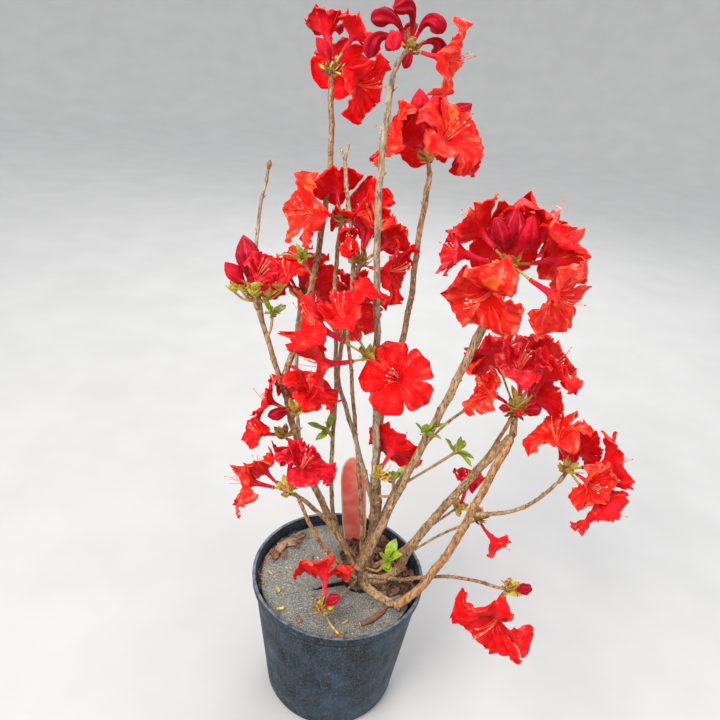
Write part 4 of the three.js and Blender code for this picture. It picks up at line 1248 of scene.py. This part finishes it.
def corolla_kinds(tone, upper, pleat, middles, seed):
    """Materials of a corolla's faces: shades by patch and by pleat, with painted highlight on the
    pleats' ridges and painted shade in their valleys, and a blotch on the upper lobe.
    """
    patch = ripple(middles, 17, seed + 5)
    fine = ripple(middles, 7, seed + 6)
    # The pleat term is painted light, lighter on ridges and darker in valleys; patch and fine are
    # random tone, and the rest makes edges and tips lighter
    shade = 0.55 * pleat[FIRST_OF] + 0.5 * patch + 0.3 * fine
    shade += 0.8 * (np.abs(FACE_ACROSS) - 0.5) + 0.5 * (FACE_ALONG - 0.5)
    scatter = np.random.default_rng(seed + 7).normal(0, SHADE_SCATTER, len(shade))
    shade += scatter
    inner = np.full(len(FACE_ALONG), tone, dtype=object)
    outer = inner.copy()
    for faces, lighter in ((inner, FRONT_LIGHTER), (outer, BACK_LIGHTER)):
        for suffix, least in lighter.items():
            faces[shade > least] = tone + suffix
    for suffix, most in FRONT_DARKER.items():
        inner[shade < most] = tone + suffix
    inner[(FACE_ALONG < 0) & (shade < 0.5)] = tone + "_deep"
    if tone == "orange":
        near = (FACE_LOBE == upper) & (FACE_ALONG > BLOTCH_ENDS[0]) & (FACE_ALONG < BLOTCH_ENDS[1])
        long, wide = BLOTCH_REACH
        reach = ((FACE_ALONG - BLOTCH_MIDDLE) / long) ** 2 + (FACE_ACROSS / wide) ** 2
        inner[near & (reach + 2 * scatter < 0.6 + 0.4 * patch + 0.6 * fine)] = "blotch"
    inner[FACE_ALONG < -0.25] = "throat"
    rib = np.abs(FACE_ACROSS) < 0.62 * (0.95 - FACE_ALONG) + 0.1 * fine
    outer[rib & (FACE_ALONG < 0.85)] = "back"
    outer[FACE_ALONG < -0.2 + 0.1 * patch] = "tube"
    return [*inner, *outer] + [tone + "_light"] * len(LAYER_MARGINS)


def flower(middle, direction, roll, size, stalk, openness, walls, seed, tone):
    turn = facing(direction, roll)
    local_walls = [turn.T @ wall for wall in walls]
    points, pleat = corolla_points(size, stalk, openness, seeded(seed), local_walls, seed)
    rng = np.random.default_rng(seed)
    bend = rng.uniform(*ANY_TURN)
    bow = BOW * size * np.array([math.cos(bend), math.sin(bend), 0])
    length = stalk + 26 * size
    solid, faces, middles = shell(bowed(points, length, bow), PETAL_THICKNESS)
    lobe_angles = FULL_TURN * np.arange(LOBES) / LOBES
    lobe_ways = np.stack([np.cos(lobe_angles), np.sin(lobe_angles), np.zeros(LOBES)], axis=1) @ turn.T
    upper = int(np.argmax(lobe_ways[:, 2]))
    target = petals_far if middle[1] >= FAR_FROM else petals_left if middle[0] < LEFT_TO else petals
    target.add(solid @ turn.T + middle, faces, corolla_kinds(tone, upper, pleat, middles, seed))
    stalk_of_flower(middle, turn, stalk, size, length, bow)
    stamens(middle, turn, upper, size, stalk, rng)


def stalk_line(share, length):
    """Centres of a stalk along +Z, from its root in the twig to its end."""
    line = np.zeros((len(share), 3))
    line[:, 2] = share * (length + STALK_ROOT) - STALK_ROOT
    return line


def stalk_of_flower(middle, turn, stalk, size, length, bow):
    """The thin green stalk with its little calyx."""
    share = np.linspace(0, 1, 8)
    line = bowed(stalk_line(share, stalk + 1.5), length, bow)
    radii = np.interp(share, [0, 0.8, 1], [1.15, 1.2, 1.8 * size])
    greens.add(*tube(line @ turn.T + middle, radii, 7), "pedicel")
    grid = blade_grid(4.5 * size, 2.2 * size, fold=0.1, bend=0.3, rows=4, columns=3)
    lean = facing(unit(np.array([0, 0.35, 1.0])))
    for i in range(LOBES):
        spin = facing(np.array([0, 0, 1.0]), FULL_TURN * i / LOBES)
        shifted = grid @ lean.T + np.array([0, 1.4 * size, 0])
        placed = shifted @ spin.T + np.array([0, 0, stalk - 0.5])
        points, faces = sheet_solid(placed, 0.25)
        greens.add(bowed(points, length, bow) @ turn.T + middle, faces, "scale")


def stamens(middle, turn, upper, size, stalk, rng):
    """Five thin filaments and a longer style that dip and then curve up past the petals."""
    lift = FULL_TURN * upper / LOBES + rng.uniform(-1.1, 1.1)
    up = np.array([math.cos(lift), math.sin(lift), 0])
    across = np.array([-up[1], up[0], 0])
    rows = np.linspace(0, 1, 13)
    dip = rng.uniform(2, 5) * size
    for i in range(LOBES + 1):
        style = i == LOBES
        reach = (54 if style else rng.uniform(38, 50)) * size
        spread = 0 if style else (i - 2) * 3.0 + rng.uniform(-1.4, 1.4)
        rise = rng.uniform(7, 15) * size
        upwards = -dip * np.sin(rows * math.pi * 0.75) + rise * rows**2.6
        aside = spread * size * rows**1.3
        local = np.outer(upwards, up) + np.outer(aside, across)
        local[:, 2] += stalk + 3 + rows * reach
        radii = np.interp(rows, [0, 1], [0.42, 0.28]) * (1.15 if style else 1)
        stalks.add(*tube(local @ turn.T + middle, radii, 5), "filament")
        ahead = unit(local[-1] - local[-2] + rng.normal(0, 0.6, 3))
        tip = local[-1] + np.outer(np.linspace(-0.9, 1.2, 5) * size, ahead)
        fat = (0.7 if style else 0.85) * np.array([0.35, 0.85, 1, 0.85, 0.3])
        stalks.add(*tube(tip @ turn.T + middle, fat, 6), "style_tip" if style else "anther")


def bud(middle, direction, roll, size, rng, hooked, stalk):
    """Closed bud of five twisted petals on a thin stalk, as a spindle or with a hooked head."""
    turn = facing(direction, roll)
    rows, sides = 27, 40
    share = np.linspace(0, 1, rows)
    profile = np.interp(share, *(HOOKED_BUD if hooked else SPINDLE_BUD))
    down = turn.T @ np.array([0, 0, -1.0])
    way = math.atan2(down[1], down[0]) + rng.uniform(-0.7, 0.7)
    hook = rng.uniform(1.3, 2.3) if hooked else rng.uniform(-0.3, 0.5)
    lean = hook * soft_step(share, 0.25, 0.9)
    step = BUD_LENGTH * size / (rows - 1)
    aside = running(np.sin(lean[1:]) * step)
    centres = np.stack([aside * math.cos(way), aside * math.sin(way), np.zeros(rows)], axis=1)
    centres[:, 2] = stalk + running(np.cos(lean[1:]) * step)
    angles = angles_round(sides)
    twist = rng.uniform(0.3, 1.1) * rng.choice([-1, 1])
    folds = LOBES * (angles[None, :] + twist * share[:, None])
    ridge = np.cos(folds)
    depth = (0.3 if hooked else 0.14) * soft_step(share, 0.1, 0.45)[:, None]
    fine = 0.03 * np.cos(3 * folds + 1) * soft_step(share, 0.2, 0.5)[:, None]
    relief = 1 + depth * (np.abs(ridge) ** 0.7 * np.sign(ridge)) + fine
    slim = rng.uniform(0.72, 0.95) if hooked else 1
    points, faces = tube(centres, BUD_RADIUS * size * slim * profile, sides, relief)
    bright = "bud_bright" if rng.random() < (0.2 if hooked else 0.45) else "bud"
    kinds = np.full((rows - 1, sides), bright, dtype=object)
    if not hooked:
        kinds[(ridge + np.roll(ridge, -1, axis=1))[:-1] < -1.5] = "bud_seam"
    kinds[share[:-1] < 0.16] = "bud_bright" if hooked else "tube"
    buds.add(points @ turn.T + middle, faces, [*kinds.ravel(), "tube", bright])
    neck = np.linspace(0, 1, 5)
    line = stalk_line(neck, stalk + 1)
    greens.add(*tube(line @ turn.T + middle, 1.1 + 0.6 * size * neck**3, 7), "pedicel")


# Kinds of blade, by the finish of the upper side, the back and the tip
LEAF_GREEN = ("leaf", "leaf_back", "leaf_tip")
LEAF_YOUNG = ("bract", "bract", "bract_tip")
BRACT = ("bract", "scale", "bract_tip")
SCALE = ("scale", "scale", "husk")
FRAYED_HUSK = ("husk", "husk", "scale")
DEAD_HUSK = ("husk", "husk", "husk")
# A blade's thickness, roll, wave and hollow, where its tip's colour starts, and the length from
# which it has more rows
BLADE_THICKNESS = 0.35
BLADE_ROLL = 0.35
BLADE_WAVE = 0.018
BLADE_HOLLOW = 0.05
BLADE_TIP = 0.72
LONG_BLADE = 12
# Smaller leaf beside each leaf
SECOND_LEAF = 0.6


def leaf(foot, direction, length, width, kinds, rng, bend=0.5, fold=0.3):
    """A blade whose upper side looks up and inwards: kinds are its upper side, back and tip."""
    side = np.cross([0, 0, 1.0], direction)
    side = unit(side) if np.linalg.norm(side) > 0.05 else np.array([1.0, 0, 0])
    lift = np.cross(direction, side) * math.sin(BLADE_ROLL) * rng.choice([-1, 1])
    side = unit(side * math.cos(BLADE_ROLL) + lift)
    axes = np.stack([side, np.cross(direction, side), direction], axis=1)
    rows, columns = 11 if length > LONG_BLADE else 7, 5
    grid = blade_grid(length, width, fold, bend * rng.uniform(0.3, 1.4), rows, columns)
    wave = BLADE_WAVE * length * np.sin(np.linspace(0, 7, rows) + rng.uniform(0, 6))
    grid[:, 0, 1] += wave
    grid[:, -1, 1] -= wave
    grid[:, columns // 2, 1] -= BLADE_HOLLOW * width
    points, faces = sheet_solid(grid @ axes.T + foot, BLADE_THICKNESS)
    upper, lower, tip = kinds
    names = []
    for i in range(rows - 1):
        names += [tip if i >= rows * BLADE_TIP else upper, lower] * (columns - 1)
    greens.add(points, faces, names + [upper] * (len(faces) - len(names)))


def twig_root(foot, thick, kind):
    """Radius and bark at a twig's foot: the limb's own where the twig goes on from its tip."""
    for limb_path, limb_radius, limb_bark in LIMBS.values():
        if np.linalg.norm(np.array(limb_path[-1], float) - foot) < TIP_NEAR:
            return max(limb_radius[1], thick), BARK[limb_bark]
    return thick * TWIG_TAPER, kind


def grow(spec):
    """A truss or a tuft: its twig, then flowers, buds, scales and leaves by the solids' rule."""
    path, flowers, bud_list = spec["path"], spec.get("flowers", []), spec.get("buds", [])
    rng = seeded(spec["seed"])
    extra = np.random.default_rng(spec["seed"])
    middle = np.array(path[-1], float)
    along = unit(middle - np.array(path[-2], float))
    thick = TRUSS_TWIG_RADIUS if len(flowers) > 1 or len(bud_list) > 1 else THIN_TWIG_RADIUS
    twig = smooth_path(path, max(6, int(path_length(path) / RING_STEP)))
    root, bark_kind = twig_root(path[0], thick, "tan" if flowers else "young_twig")
    radii = np.interp(np.linspace(0, 1, len(twig)), [0, 0.12, 0.3, 0.8, 1],
                      [0.6 * root, root, root, thick, thick])
    twigs.add(*tube(twig, radii * (1 + 0.08 * ripple(twig, 9, spec["seed"])), 12), bark_kind)
    knob = middle + np.outer(np.linspace(-5, 3.5, 7), along)
    twigs.add(*tube(knob, thick * np.array([1, 1.15, 1.4, 1.5, 1.35, 1, 0.3]), 10), "young_twig")
    ways = [heading(f[0], f[1]) for f in flowers]
    for i, entry in enumerate(flowers):
        turn, rise, size, stalk, openness = entry + (1, STALK_LENGTH, 1)[len(entry) - 2:]
        flower_seed = math.floor(rng() * 1e6)
        roll = swing(rng, math.pi)
        walls = [unit(ways[i] - other) for j, other in enumerate(ways) if j != i]
        tone = TONES[spec["tones"][i]]
        flower(middle, ways[i], roll, size, stalk, openness, walls, flower_seed, tone)
    for turn, rise, size in bud_list:
        bud(middle, heading(turn, rise), swing(rng, 1), size, extra, spec.get("hooked", False),
            spec.get("bud_stalk", BUD_STALK_LENGTH))
    blades = [SCALE_LENGTH] * (SCALE_COUNT if flowers else BARE_TUFT_SCALES)
    blades += [LEAF_LENGTH] * spec.get("leaves", 0)
    kinds = LEAF_YOUNG if flowers else LEAF_GREEN
    share = BRACT_WIDTH_SHARE if flowers else spec.get("broad", LEAF_WIDTH_SHARE)
    for i, lengths in enumerate(blades):
        length = between(rng, lengths)
        turn = i * LEAF_TURN + swing(rng, LEAF_TURN_SWING)
        direction = unit(heading(turn, between(rng, LEAF_RISE)) + LEAF_LEAN * along)
        foot = middle - along * between(rng, LEAF_FOOT_BACK)
        # The solids' rule draws a roll here, which these blades don't use
        swing(rng, math.pi)
        if lengths is LEAF_LENGTH:
            leaf(foot, direction, length, length * share, kinds, extra)
            direction = unit(direction + 0.6 * along)
            length *= SECOND_LEAF
            leaf(foot, direction, length, length * share, kinds, extra, bend=0.2)
        else:
            leaf(foot, direction, length, length * 0.4, SCALE, extra)
    bracts = 20 + 2 * spec.get("leaves", 0) if flowers else 5
    collar(middle, along, bracts, extra, bool(flowers))
    husks(middle, along, spec.get("husks", 0), extra)
    for turn, rise, length in spec.get("shoots", []):
        side_shoot(middle, along, heading(turn, rise), length, extra)


def side_shoot(middle, along, way, length, rng):
    """A short leafy shoot that stands beside a truss."""
    foot = middle - along * 10
    tip = middle + way * length
    path = smooth_path([foot, foot + way * length * 0.6 + along * 2, tip], 8)
    twigs.add(*tube(path, np.linspace(1.8, 1.2, 9), 8), "young_twig")
    for i in range(11):
        direction = unit(heading(i * LEAF_TURN + 20 * length, rng.uniform(0, 70)) + 0.8 * along)
        blade = rng.uniform(8, 16)
        leaf(tip - direction, direction, blade, blade * 0.42, LEAF_YOUNG, rng, bend=0.3)


def collar(middle, along, count, rng, dry):
    """Papery scales and first green bracts round the foot of a truss or tuft."""
    for i in range(count):
        direction = unit(heading(i * LEAF_TURN + 40, rng.uniform(-30, 55)) + 0.75 * along)
        length = rng.uniform(8, 21) if dry else rng.uniform(5, 9)
        foot = middle - along * rng.uniform(0, 6)
        draw = rng.random()
        kinds = BRACT if draw < 0.4 else FRAYED_HUSK if draw > 0.72 else SCALE
        bend = rng.uniform(-0.7, 0.5)
        leaf(foot, direction, length, length * 0.48, kinds, rng, bend, fold=-0.25)


def husks(middle, along, count, rng):
    """Dead brown scales crowded round the foot of a truss."""
    for i in range(count):
        direction = unit(heading(i * LEAF_TURN, rng.uniform(-35, 60)) + 0.2 * along)
        length = rng.uniform(6, 13)
        foot = middle - along * rng.uniform(-6, 7) + direction * rng.uniform(0, 5)
        leaf(foot, direction, length, length * 0.5, DEAD_HUSK, rng, bend=0.6, fold=-0.4)


SHADES = ("", "_light", "_bright", "_dim", "_deep")
PETAL_KINDS = [tone + shade for tone in TONES.values() for shade in SHADES]
PETAL_KINDS += ["blotch", "back", "tube", "throat"]
petals, petals_left, petals_far = (
    Piece(name, PETAL_KINDS) for name in ("petals", "petals_left", "petals_far")
)
stalks = Piece("stamens", ["filament", "anther", "style_tip"])
buds = Piece("flower_buds", ["bud", "bud_bright", "bud_seam", "tube"])
greens = Piece("leaves_and_scales", ["leaf", "leaf_back", "leaf_tip", "bract", "bract_tip", "scale",
                                     "husk", "young_twig", "pedicel"])
for mass in [*TRUSSES.values(), *TUFTS.values()]:
    grow(mass)


# Pot: its profile's rounding, the foot's ledge, its floor, and how far it is out of round, as the
# share, the power of the height that it grows with, its waves round the pot and their start
CORNER_RADIUS = 1.4
CORNER_STEPS = 4
FOOT_LEDGE = 6
POT_FLOOR = 2.5
OVAL = ((0.004, 2, 2, 0.6), (0.0015, 1, 5, 1))


def pot_radius_at(height):
    return POT_BASE_RADIUS + (POT_RIM_RADIUS - POT_LIP_DEPTH - POT_BASE_RADIUS) * height / POT_HEIGHT


def rounded(corners):
    """A profile with each corner cut by a short arc."""
    corners = [np.array(c, float) for c in corners]
    out = [corners[0]]
    for a, b, c in zip(corners, corners[1:], corners[2:]):
        reach = [min(CORNER_RADIUS, np.linalg.norm(other - b) / 2.2) for other in (a, c)]
        start, end = b + unit(a - b) * reach[0], b + unit(c - b) * reach[1]
        for t in np.linspace(0, 1, CORNER_STEPS):
            out.append((1 - t) ** 2 * start + 2 * t * (1 - t) * b + t**2 * end)
    out.append(corners[-1])
    return np.array(out)


def lathe(profile, sides):
    """Closed turned solid from a profile of radius and height that starts and ends on the axis."""
    radii, heights = profile[1:-1].T
    middles = [[0, 0, profile[0, 1]], [0, 0, profile[-1, 1]]]
    points = np.vstack([rings(radii, heights, sides), middles])
    faces = bands(len(radii), sides)
    low, last = len(points) - 2, (len(radii) - 1) * sides
    for j in range(sides):
        k = (j + 1) % sides
        faces += [(low, k, j), (low + 1, last + j, last + k)]
    return points, faces


def make_pot():
    lip_foot = POT_HEIGHT - POT_LIP_HEIGHT
    foot = POT_BASE_RADIUS - POT_FOOT_STEP
    foot_top = POT_FOOT_HEIGHT + POT_FOOT_STEP
    corners = [
        (0, 0),
        (foot - FOOT_LEDGE, 0),
        (foot, 0),
        (foot, POT_FOOT_HEIGHT),
        (pot_radius_at(foot_top), foot_top),
        (pot_radius_at(60), 60),
        (pot_radius_at(lip_foot - 6.4), lip_foot - 6.4),
        (pot_radius_at(lip_foot - 1), lip_foot - 1),
        (POT_RIM_RADIUS - 0.6, lip_foot + 0.4),
        (POT_RIM_RADIUS, POT_HEIGHT),
        (pot_radius_at(POT_HEIGHT) - POT_WALL, POT_HEIGHT),
        (pot_radius_at(lip_foot) - POT_WALL - 0.6, lip_foot),
        (pot_radius_at(foot_top) - POT_WALL, foot_top),
        (foot - POT_WALL - FOOT_LEDGE, POT_FLOOR),
        (0, POT_FLOOR),
    ]
    points, faces = lathe(rounded(corners), POT_SEGMENTS)
    height = points[:, 2] / POT_HEIGHT
    angle = np.arctan2(points[:, 1], points[:, 0])
    oval = 1
    for most, power, waves, start in OVAL:
        oval = oval + most * height**power * np.cos(waves * angle + start)
    points[:, :2] *= oval[:, None]

    def kind_of(face):
        """The rim's top has a lighter finish of its own, scuffs with a painted highlight, and the band
        under the lip a near-black one, a painted shadow.
        """
        low, high = points[list(face), 2].min(), points[list(face), 2].max()
        if low > POT_HEIGHT - POT_EDGE:
            return "pot_rim_scuffs_and_highlight"
        return "pot_lip_painted_shadow" if low > lip_foot - LIP_SHADOW_HEIGHT and high < lip_foot + 1 else "pot"

    pot = Piece("pot_shell", ["pot", "pot_rim_scuffs_and_highlight", "pot_lip_painted_shadow"])
    pot.add(points, faces, [kind_of(face) for face in faces])
    pot.build("pot", ["pot"])


# Filling: a rough bed of peat and the bark chips on it. The peat's lumps are sizes and heights.
PEAT_LUMPS = ((14, 1.1), (5, 0.7), (2.6, 0.4))
PEAT_LOW = 1.2
PEAT_FOOT = 3.0


def make_filling():
    rows, sides = 46, 160
    level = FILL_TOP - PEAT_LOW
    radii = np.linspace(0, pot_radius_at(FILL_TOP) - POT_WALL - 0.3, rows)[1:]
    top = rings(radii, np.full(rows - 1, level), sides)
    top[:, 2] += np.clip(lumps_of(top, PEAT_LUMPS, 31), -3, PEAT_LOW)
    base = rings([POT_BASE_RADIUS - POT_FOOT_STEP - POT_WALL - 0.8], [PEAT_FOOT], sides)
    points = np.vstack([top, base, [[0, 0, level], [0, 0, PEAT_FOOT]]])
    middle, last = len(points) - 2, len(top)
    faces = bands(rows, sides, outward=False)
    for j in range(sides):
        k = (j + 1) % sides
        faces += [(middle, j, k), (middle + 1, last + k, last + j)]
    soil = Piece("peat", ["peat"])
    soil.add(points, faces, "peat")
    soil.build("filling", ["filling"])


def chip(piece, spot, lie, length, width, thickness, kind, rng):
    """A broken flake of bark: a bent slab with a ragged outline."""
    rows, columns = 6, 5
    down, over = np.linspace(-1, 1, rows), np.linspace(-1, 1, columns)
    ragged = width / 2 * (np.array([0.4, 0.85, 1, 0.95, 0.8, 0.35]) + rng.uniform(-0.15, 0.15, rows))
    grid = np.zeros((rows, columns, 3))
    grid[:, :, 0] = ragged[:, None] * over + rng.normal(0, 0.06 * width, (rows, columns))
    grid[:, :, 2] = (down / 2 * length)[:, None] + rng.normal(0, 0.04 * length, (rows, columns))
    grid[:, :, 1] = rng.uniform(0.15, 0.4) * width * over**2
    grid[:, :, 1] += (rng.uniform(-0.12, 0.12) * length * down**2)[:, None]
    grid[:, :, 1] += rng.normal(0, 0.05 * width, (rows, columns))
    side = unit(np.cross([0, 0, 1.0], lie) + 1e-6)
    lift = np.cross(lie, side)
    tilt = rng.uniform(-0.5, 0.5)
    c, s = math.cos(tilt), math.sin(tilt)
    axes = np.stack([side * c + lift * s, lift * c - side * s, lie], axis=1)
    points, faces = sheet_solid(grid @ axes.T, thickness)
    piece.add(points + spot, faces, kind)


# Chips in the felt's cut, with every sixth by its left edge: how many there are, how far they
# stay off the crown and the wall, and their shades
CHIP_COUNT = 330
EDGE_CHIP_EVERY = 6
CHIP_OFF_CROWN = 16
CHIP_OFF_WALL = 2
CHIP_KINDS = ["chip_dark", "chip_dark", "chip_dark", "chip_brown", "chip_brown", "chip_tan"]


def make_chips():
    """Chips lie in the felt's cut, and a few more by its left edge."""
    chips = Piece("bark_chips", ["chip_dark", "chip_brown", "chip_tan"])
    rng = np.random.default_rng(41)
    for i in range(CHIP_COUNT):
        in_cut = i % EDGE_CHIP_EVERY != EDGE_CHIP_EVERY - 1
        if in_cut:
            turn = rng.uniform(FELT_CUT_FROM - 2, FELT_CUT_TO + 2)
            reach = math.sqrt(rng.uniform(CHIP_REACH[0] ** 2, CHIP_REACH[1] ** 2))
        else:
            turn, reach = rng.uniform(*CHIP_EDGE_TURN), rng.uniform(*CHIP_EDGE_REACH)
        spot = heading(turn, 0) * reach
        if in_cut and np.hypot(*(spot[:2] - CROWN_CENTRE)) < CHIP_OFF_CROWN:
            continue
        length = rng.uniform(8, 26) if in_cut else rng.uniform(6, 11)
        spot[2] = FILL_TOP + (rng.uniform(0.5, 4) if in_cut else rng.uniform(0.5, 2.5))
        lie = heading(rng.uniform(0, 360), rng.uniform(-12, 30))
        ends = [np.hypot(*(spot + lie * side * length / 2)[:2]) for side in (1, -1)]
        if max(ends) > pot_radius_at(FILL_TOP) - POT_WALL - CHIP_OFF_WALL:
            lie = heading(turn + 90, rng.uniform(-6, 6))
        chip(chips, spot, lie, length, length * rng.uniform(0.3, 0.6), rng.uniform(1, 2.4),
             CHIP_KINDS[rng.integers(len(CHIP_KINDS))], rng)
    for x, y, turn, length in EDGE_FLAKES:
        lie = heading(turn, rng.uniform(-4, 12))
        kind = "chip_tan" if length > 18 else "chip_brown"
        spot = np.array([x, y, FELT_TOP + 2.2])
        chip(chips, spot, lie, length, length * rng.uniform(0.4, 0.6), 1.2, kind, rng)
    chips.build("filling")


# Felt disc: a thick mat with its cut, its slit and a rough edge
FELT_ROWS = 64
FELT_COLUMNS = 44
FELT_LUMPS = ((46, 0.55), (9, 0.25), (3, 0.14))


def make_felt():
    centre = np.array([*CROWN_CENTRE, 0.0])

    def edge_reach(angle):
        """How far the disc's edge lies from the crown in a direction."""
        along = centre[:2] @ np.array([math.cos(angle), math.sin(angle)])
        return -along + math.sqrt(along**2 - centre[:2] @ centre[:2] + FELT_RADIUS**2)

    def angle_of(spot):
        """Direction of a spot from the crown."""
        return math.atan2(spot[1] - centre[1], spot[0] - centre[0])

    start = angle_of(heading(FELT_CUT_TO, 0) * FELT_RADIUS)
    end = angle_of(heading(FELT_CUT_FROM, 0) * FELT_RADIUS) + FULL_TURN
    slit_angle = angle_of(FELT_SLIT_END) + FULL_TURN
    slit_reach = math.dist(FELT_SLIT_END, CROWN_CENTRE)
    felt = Piece("felt_mat", ["felt", "felt_edge"])
    for first, last, closes in ((start, slit_angle, 1), (slit_angle, end, -1)):
        grid = np.zeros((FELT_COLUMNS, FELT_ROWS, 3))
        for i, share in enumerate(np.linspace(0, 1, FELT_ROWS)):
            for j, out in enumerate(np.linspace(0, 1, FELT_COLUMNS)):
                angle = first + (last - first) * share
                reach = FELT_HOLE_RADIUS + (edge_reach(angle) - FELT_HOLE_RADIUS) * out
                if reach < slit_reach:
                    gap = FELT_SLIT_WIDTH / 2 * (1 - (reach / slit_reach) ** 3) / reach
                    near = share if closes == 1 else 1 - share
                    angle -= closes * gap * near**8
                grid[j, i] = centre + reach * np.array([math.cos(angle), math.sin(angle), 0])
        flat = grid.reshape(-1, 3)
        flat[:, 2] = FELT_TOP + lumps_of(flat, FELT_LUMPS, 51)
        points, faces = sheet_solid(grid, FELT_THICKNESS - 0.2)
        wide = 2 * (FELT_COLUMNS - 1) * (FELT_ROWS - 1)
        felt.add(points, faces, ["felt"] * wide + ["felt_edge"] * (len(faces) - wide))
    felt.build("felt", ["felt_disc"])


# What has fallen on the felt: bud scales, crumbs, a dry twig, and a stub of root by the crown
FALLEN_SCALES = [(-90, -4), (-75, -32), (-67, -63), (15, -74), (-88, 30), (-42, -78), (4, -92),
                 (-60, 48)]
FALLEN_CRUMBS = 46
FALLEN_TWIG = [(-8, -70, 182.5), (-3, -80, 183.5), (3, -87, 182.6), (9, -94, 182.4)]
FALLEN_STUB = [(33, -75, 182.2), (44, -70, 183.4), (56, -58, 183.2), (65, -44, 182.2)]


def make_litter():
    litter = Piece("litter", ["scale", "husk", "chip_brown", "chip_tan", "cut_wood", "chip_dark"])
    rng = np.random.default_rng(61)
    for x, y in FALLEN_SCALES:
        lie = heading(rng.uniform(0, 360), rng.uniform(-4, 6))
        kind = "scale" if rng.random() < 0.75 else "husk"
        spot = np.array([x, y, FELT_TOP + 1.4])
        chip(litter, spot, lie, rng.uniform(6, 10), rng.uniform(3, 4.5), 0.5, kind, rng)
    for _ in range(FALLEN_CRUMBS):
        spot = heading(rng.uniform(100, 335), 0) * rng.uniform(30, 97)
        spot[2] = FELT_TOP + 0.9
        lie = heading(rng.uniform(0, 360), rng.uniform(-5, 5))
        kind = ["chip_brown", "chip_tan", "scale"][rng.integers(3)]
        chip(litter, spot, lie, rng.uniform(1.6, 4.5), rng.uniform(0.8, 2), 0.5, kind, rng)
    rows = smooth_path(FALLEN_TWIG, 14)
    litter.add(*tube(rows, np.interp(np.linspace(0, 1, 15), [0, 0.8, 1], [1.1, 1.7, 1]), 8), "scale")
    tip = rows[-1] + np.outer(np.linspace(-2, 10, 7), unit(rows[-1] - rows[-2]))
    litter.add(*tube(tip, np.array([1, 2.6, 3.6, 3.8, 3, 1.6, 0.4]), 10), "husk")
    rows = smooth_path(FALLEN_STUB, 20)
    litter.add(*tube(rows, 3.4 * (1 + 0.15 * ripple(rows, 6, 62)), 10), "chip_brown")
    back = unit(rows[0] - rows[1])
    for places, radii, sides, kind in (
        ([-1, -0.4, 0.6], [2.4, 2.4, 2.2], 12, "cut_wood"),
        ([-1, 0, 0.8], [1, 1, 1], 10, "chip_dark"),
    ):
        litter.add(*tube(rows[0] + np.outer(places, back), np.array(radii), sides), kind)
    litter.build("filling")


# Label: a plain red card with an arched top and a thin cream border
def make_label():
    half = LABEL_WIDTH / 2
    shoulder = LABEL_HEIGHT - LABEL_ARCH
    turns = np.linspace(0, math.pi, LABEL_ARCH_STEPS)
    foot = half * LABEL_FOOT_SHARE
    corners = [(-foot, 0), (foot, 0), (half, LABEL_WAIST)]
    corners += [(half * math.cos(a), shoulder + LABEL_ARCH * math.sin(a)) for a in turns]
    corners += [(-half, LABEL_WAIST)]
    outline = np.array(corners, float)
    tangent = np.roll(outline, -1, 0) - np.roll(outline, 1, 0)
    inward = np.stack([-tangent[:, 1], tangent[:, 0]], axis=1)
    inward /= np.linalg.norm(inward, axis=1)[:, None]
    middle = np.array([0, LABEL_WAIST])
    field = outline + inward * LABEL_BORDER
    layers = [outline, field, (field - middle) * 0.5 + middle]
    count, thick = len(outline), LABEL_THICKNESS / 2
    front = np.vstack([np.insert(layer, 1, -thick, axis=1) for layer in layers])
    points = np.vstack([front, front * [1, -1, 1]])
    points[:, 1] += LABEL_BEND * (points[:, 2] - LABEL_WAIST).clip(0) ** 2
    faces = bands(len(layers), count)
    faces.append(tuple(range(len(front) - count, len(front))))
    names = ["label_cream"] * count + ["label_red"] * (len(faces) - count)
    faces += [tuple(i + len(front) for i in reversed(face)) for face in faces]
    names = names * 2 + ["label_cream"] * count
    for j in range(count):
        k = (j + 1) % count
        faces.append((k, j, j + len(front), k + len(front)))
    place = Matrix.Translation(LABEL_FOOT)
    for angle, axis in ((LABEL_TURN, "Z"), (-LABEL_LEAN_LEFT, "Y"), (-LABEL_LEAN_BACK, "X")):
        place = place @ Matrix.Rotation(math.radians(angle), 4, axis)
    matrix = np.array(place)
    label = Piece("label_card", ["label_cream", "label_red"])
    label.add(points @ matrix[:3, :3].T + matrix[:3, 3], faces, names)
    label.build("label", ["plant_label"])


make_pot()
make_filling()
make_chips()
make_felt()
make_litter()
make_label()
bark.build("wood", ["crown", *LIMBS])
twigs.build("wood")
petals.build("flowers", list(TRUSSES))
petals_left.build("flowers")
petals_far.build("flowers")
stalks.build("flowers")
buds.build("flowers")
greens.build("leaves", list(TUFTS))
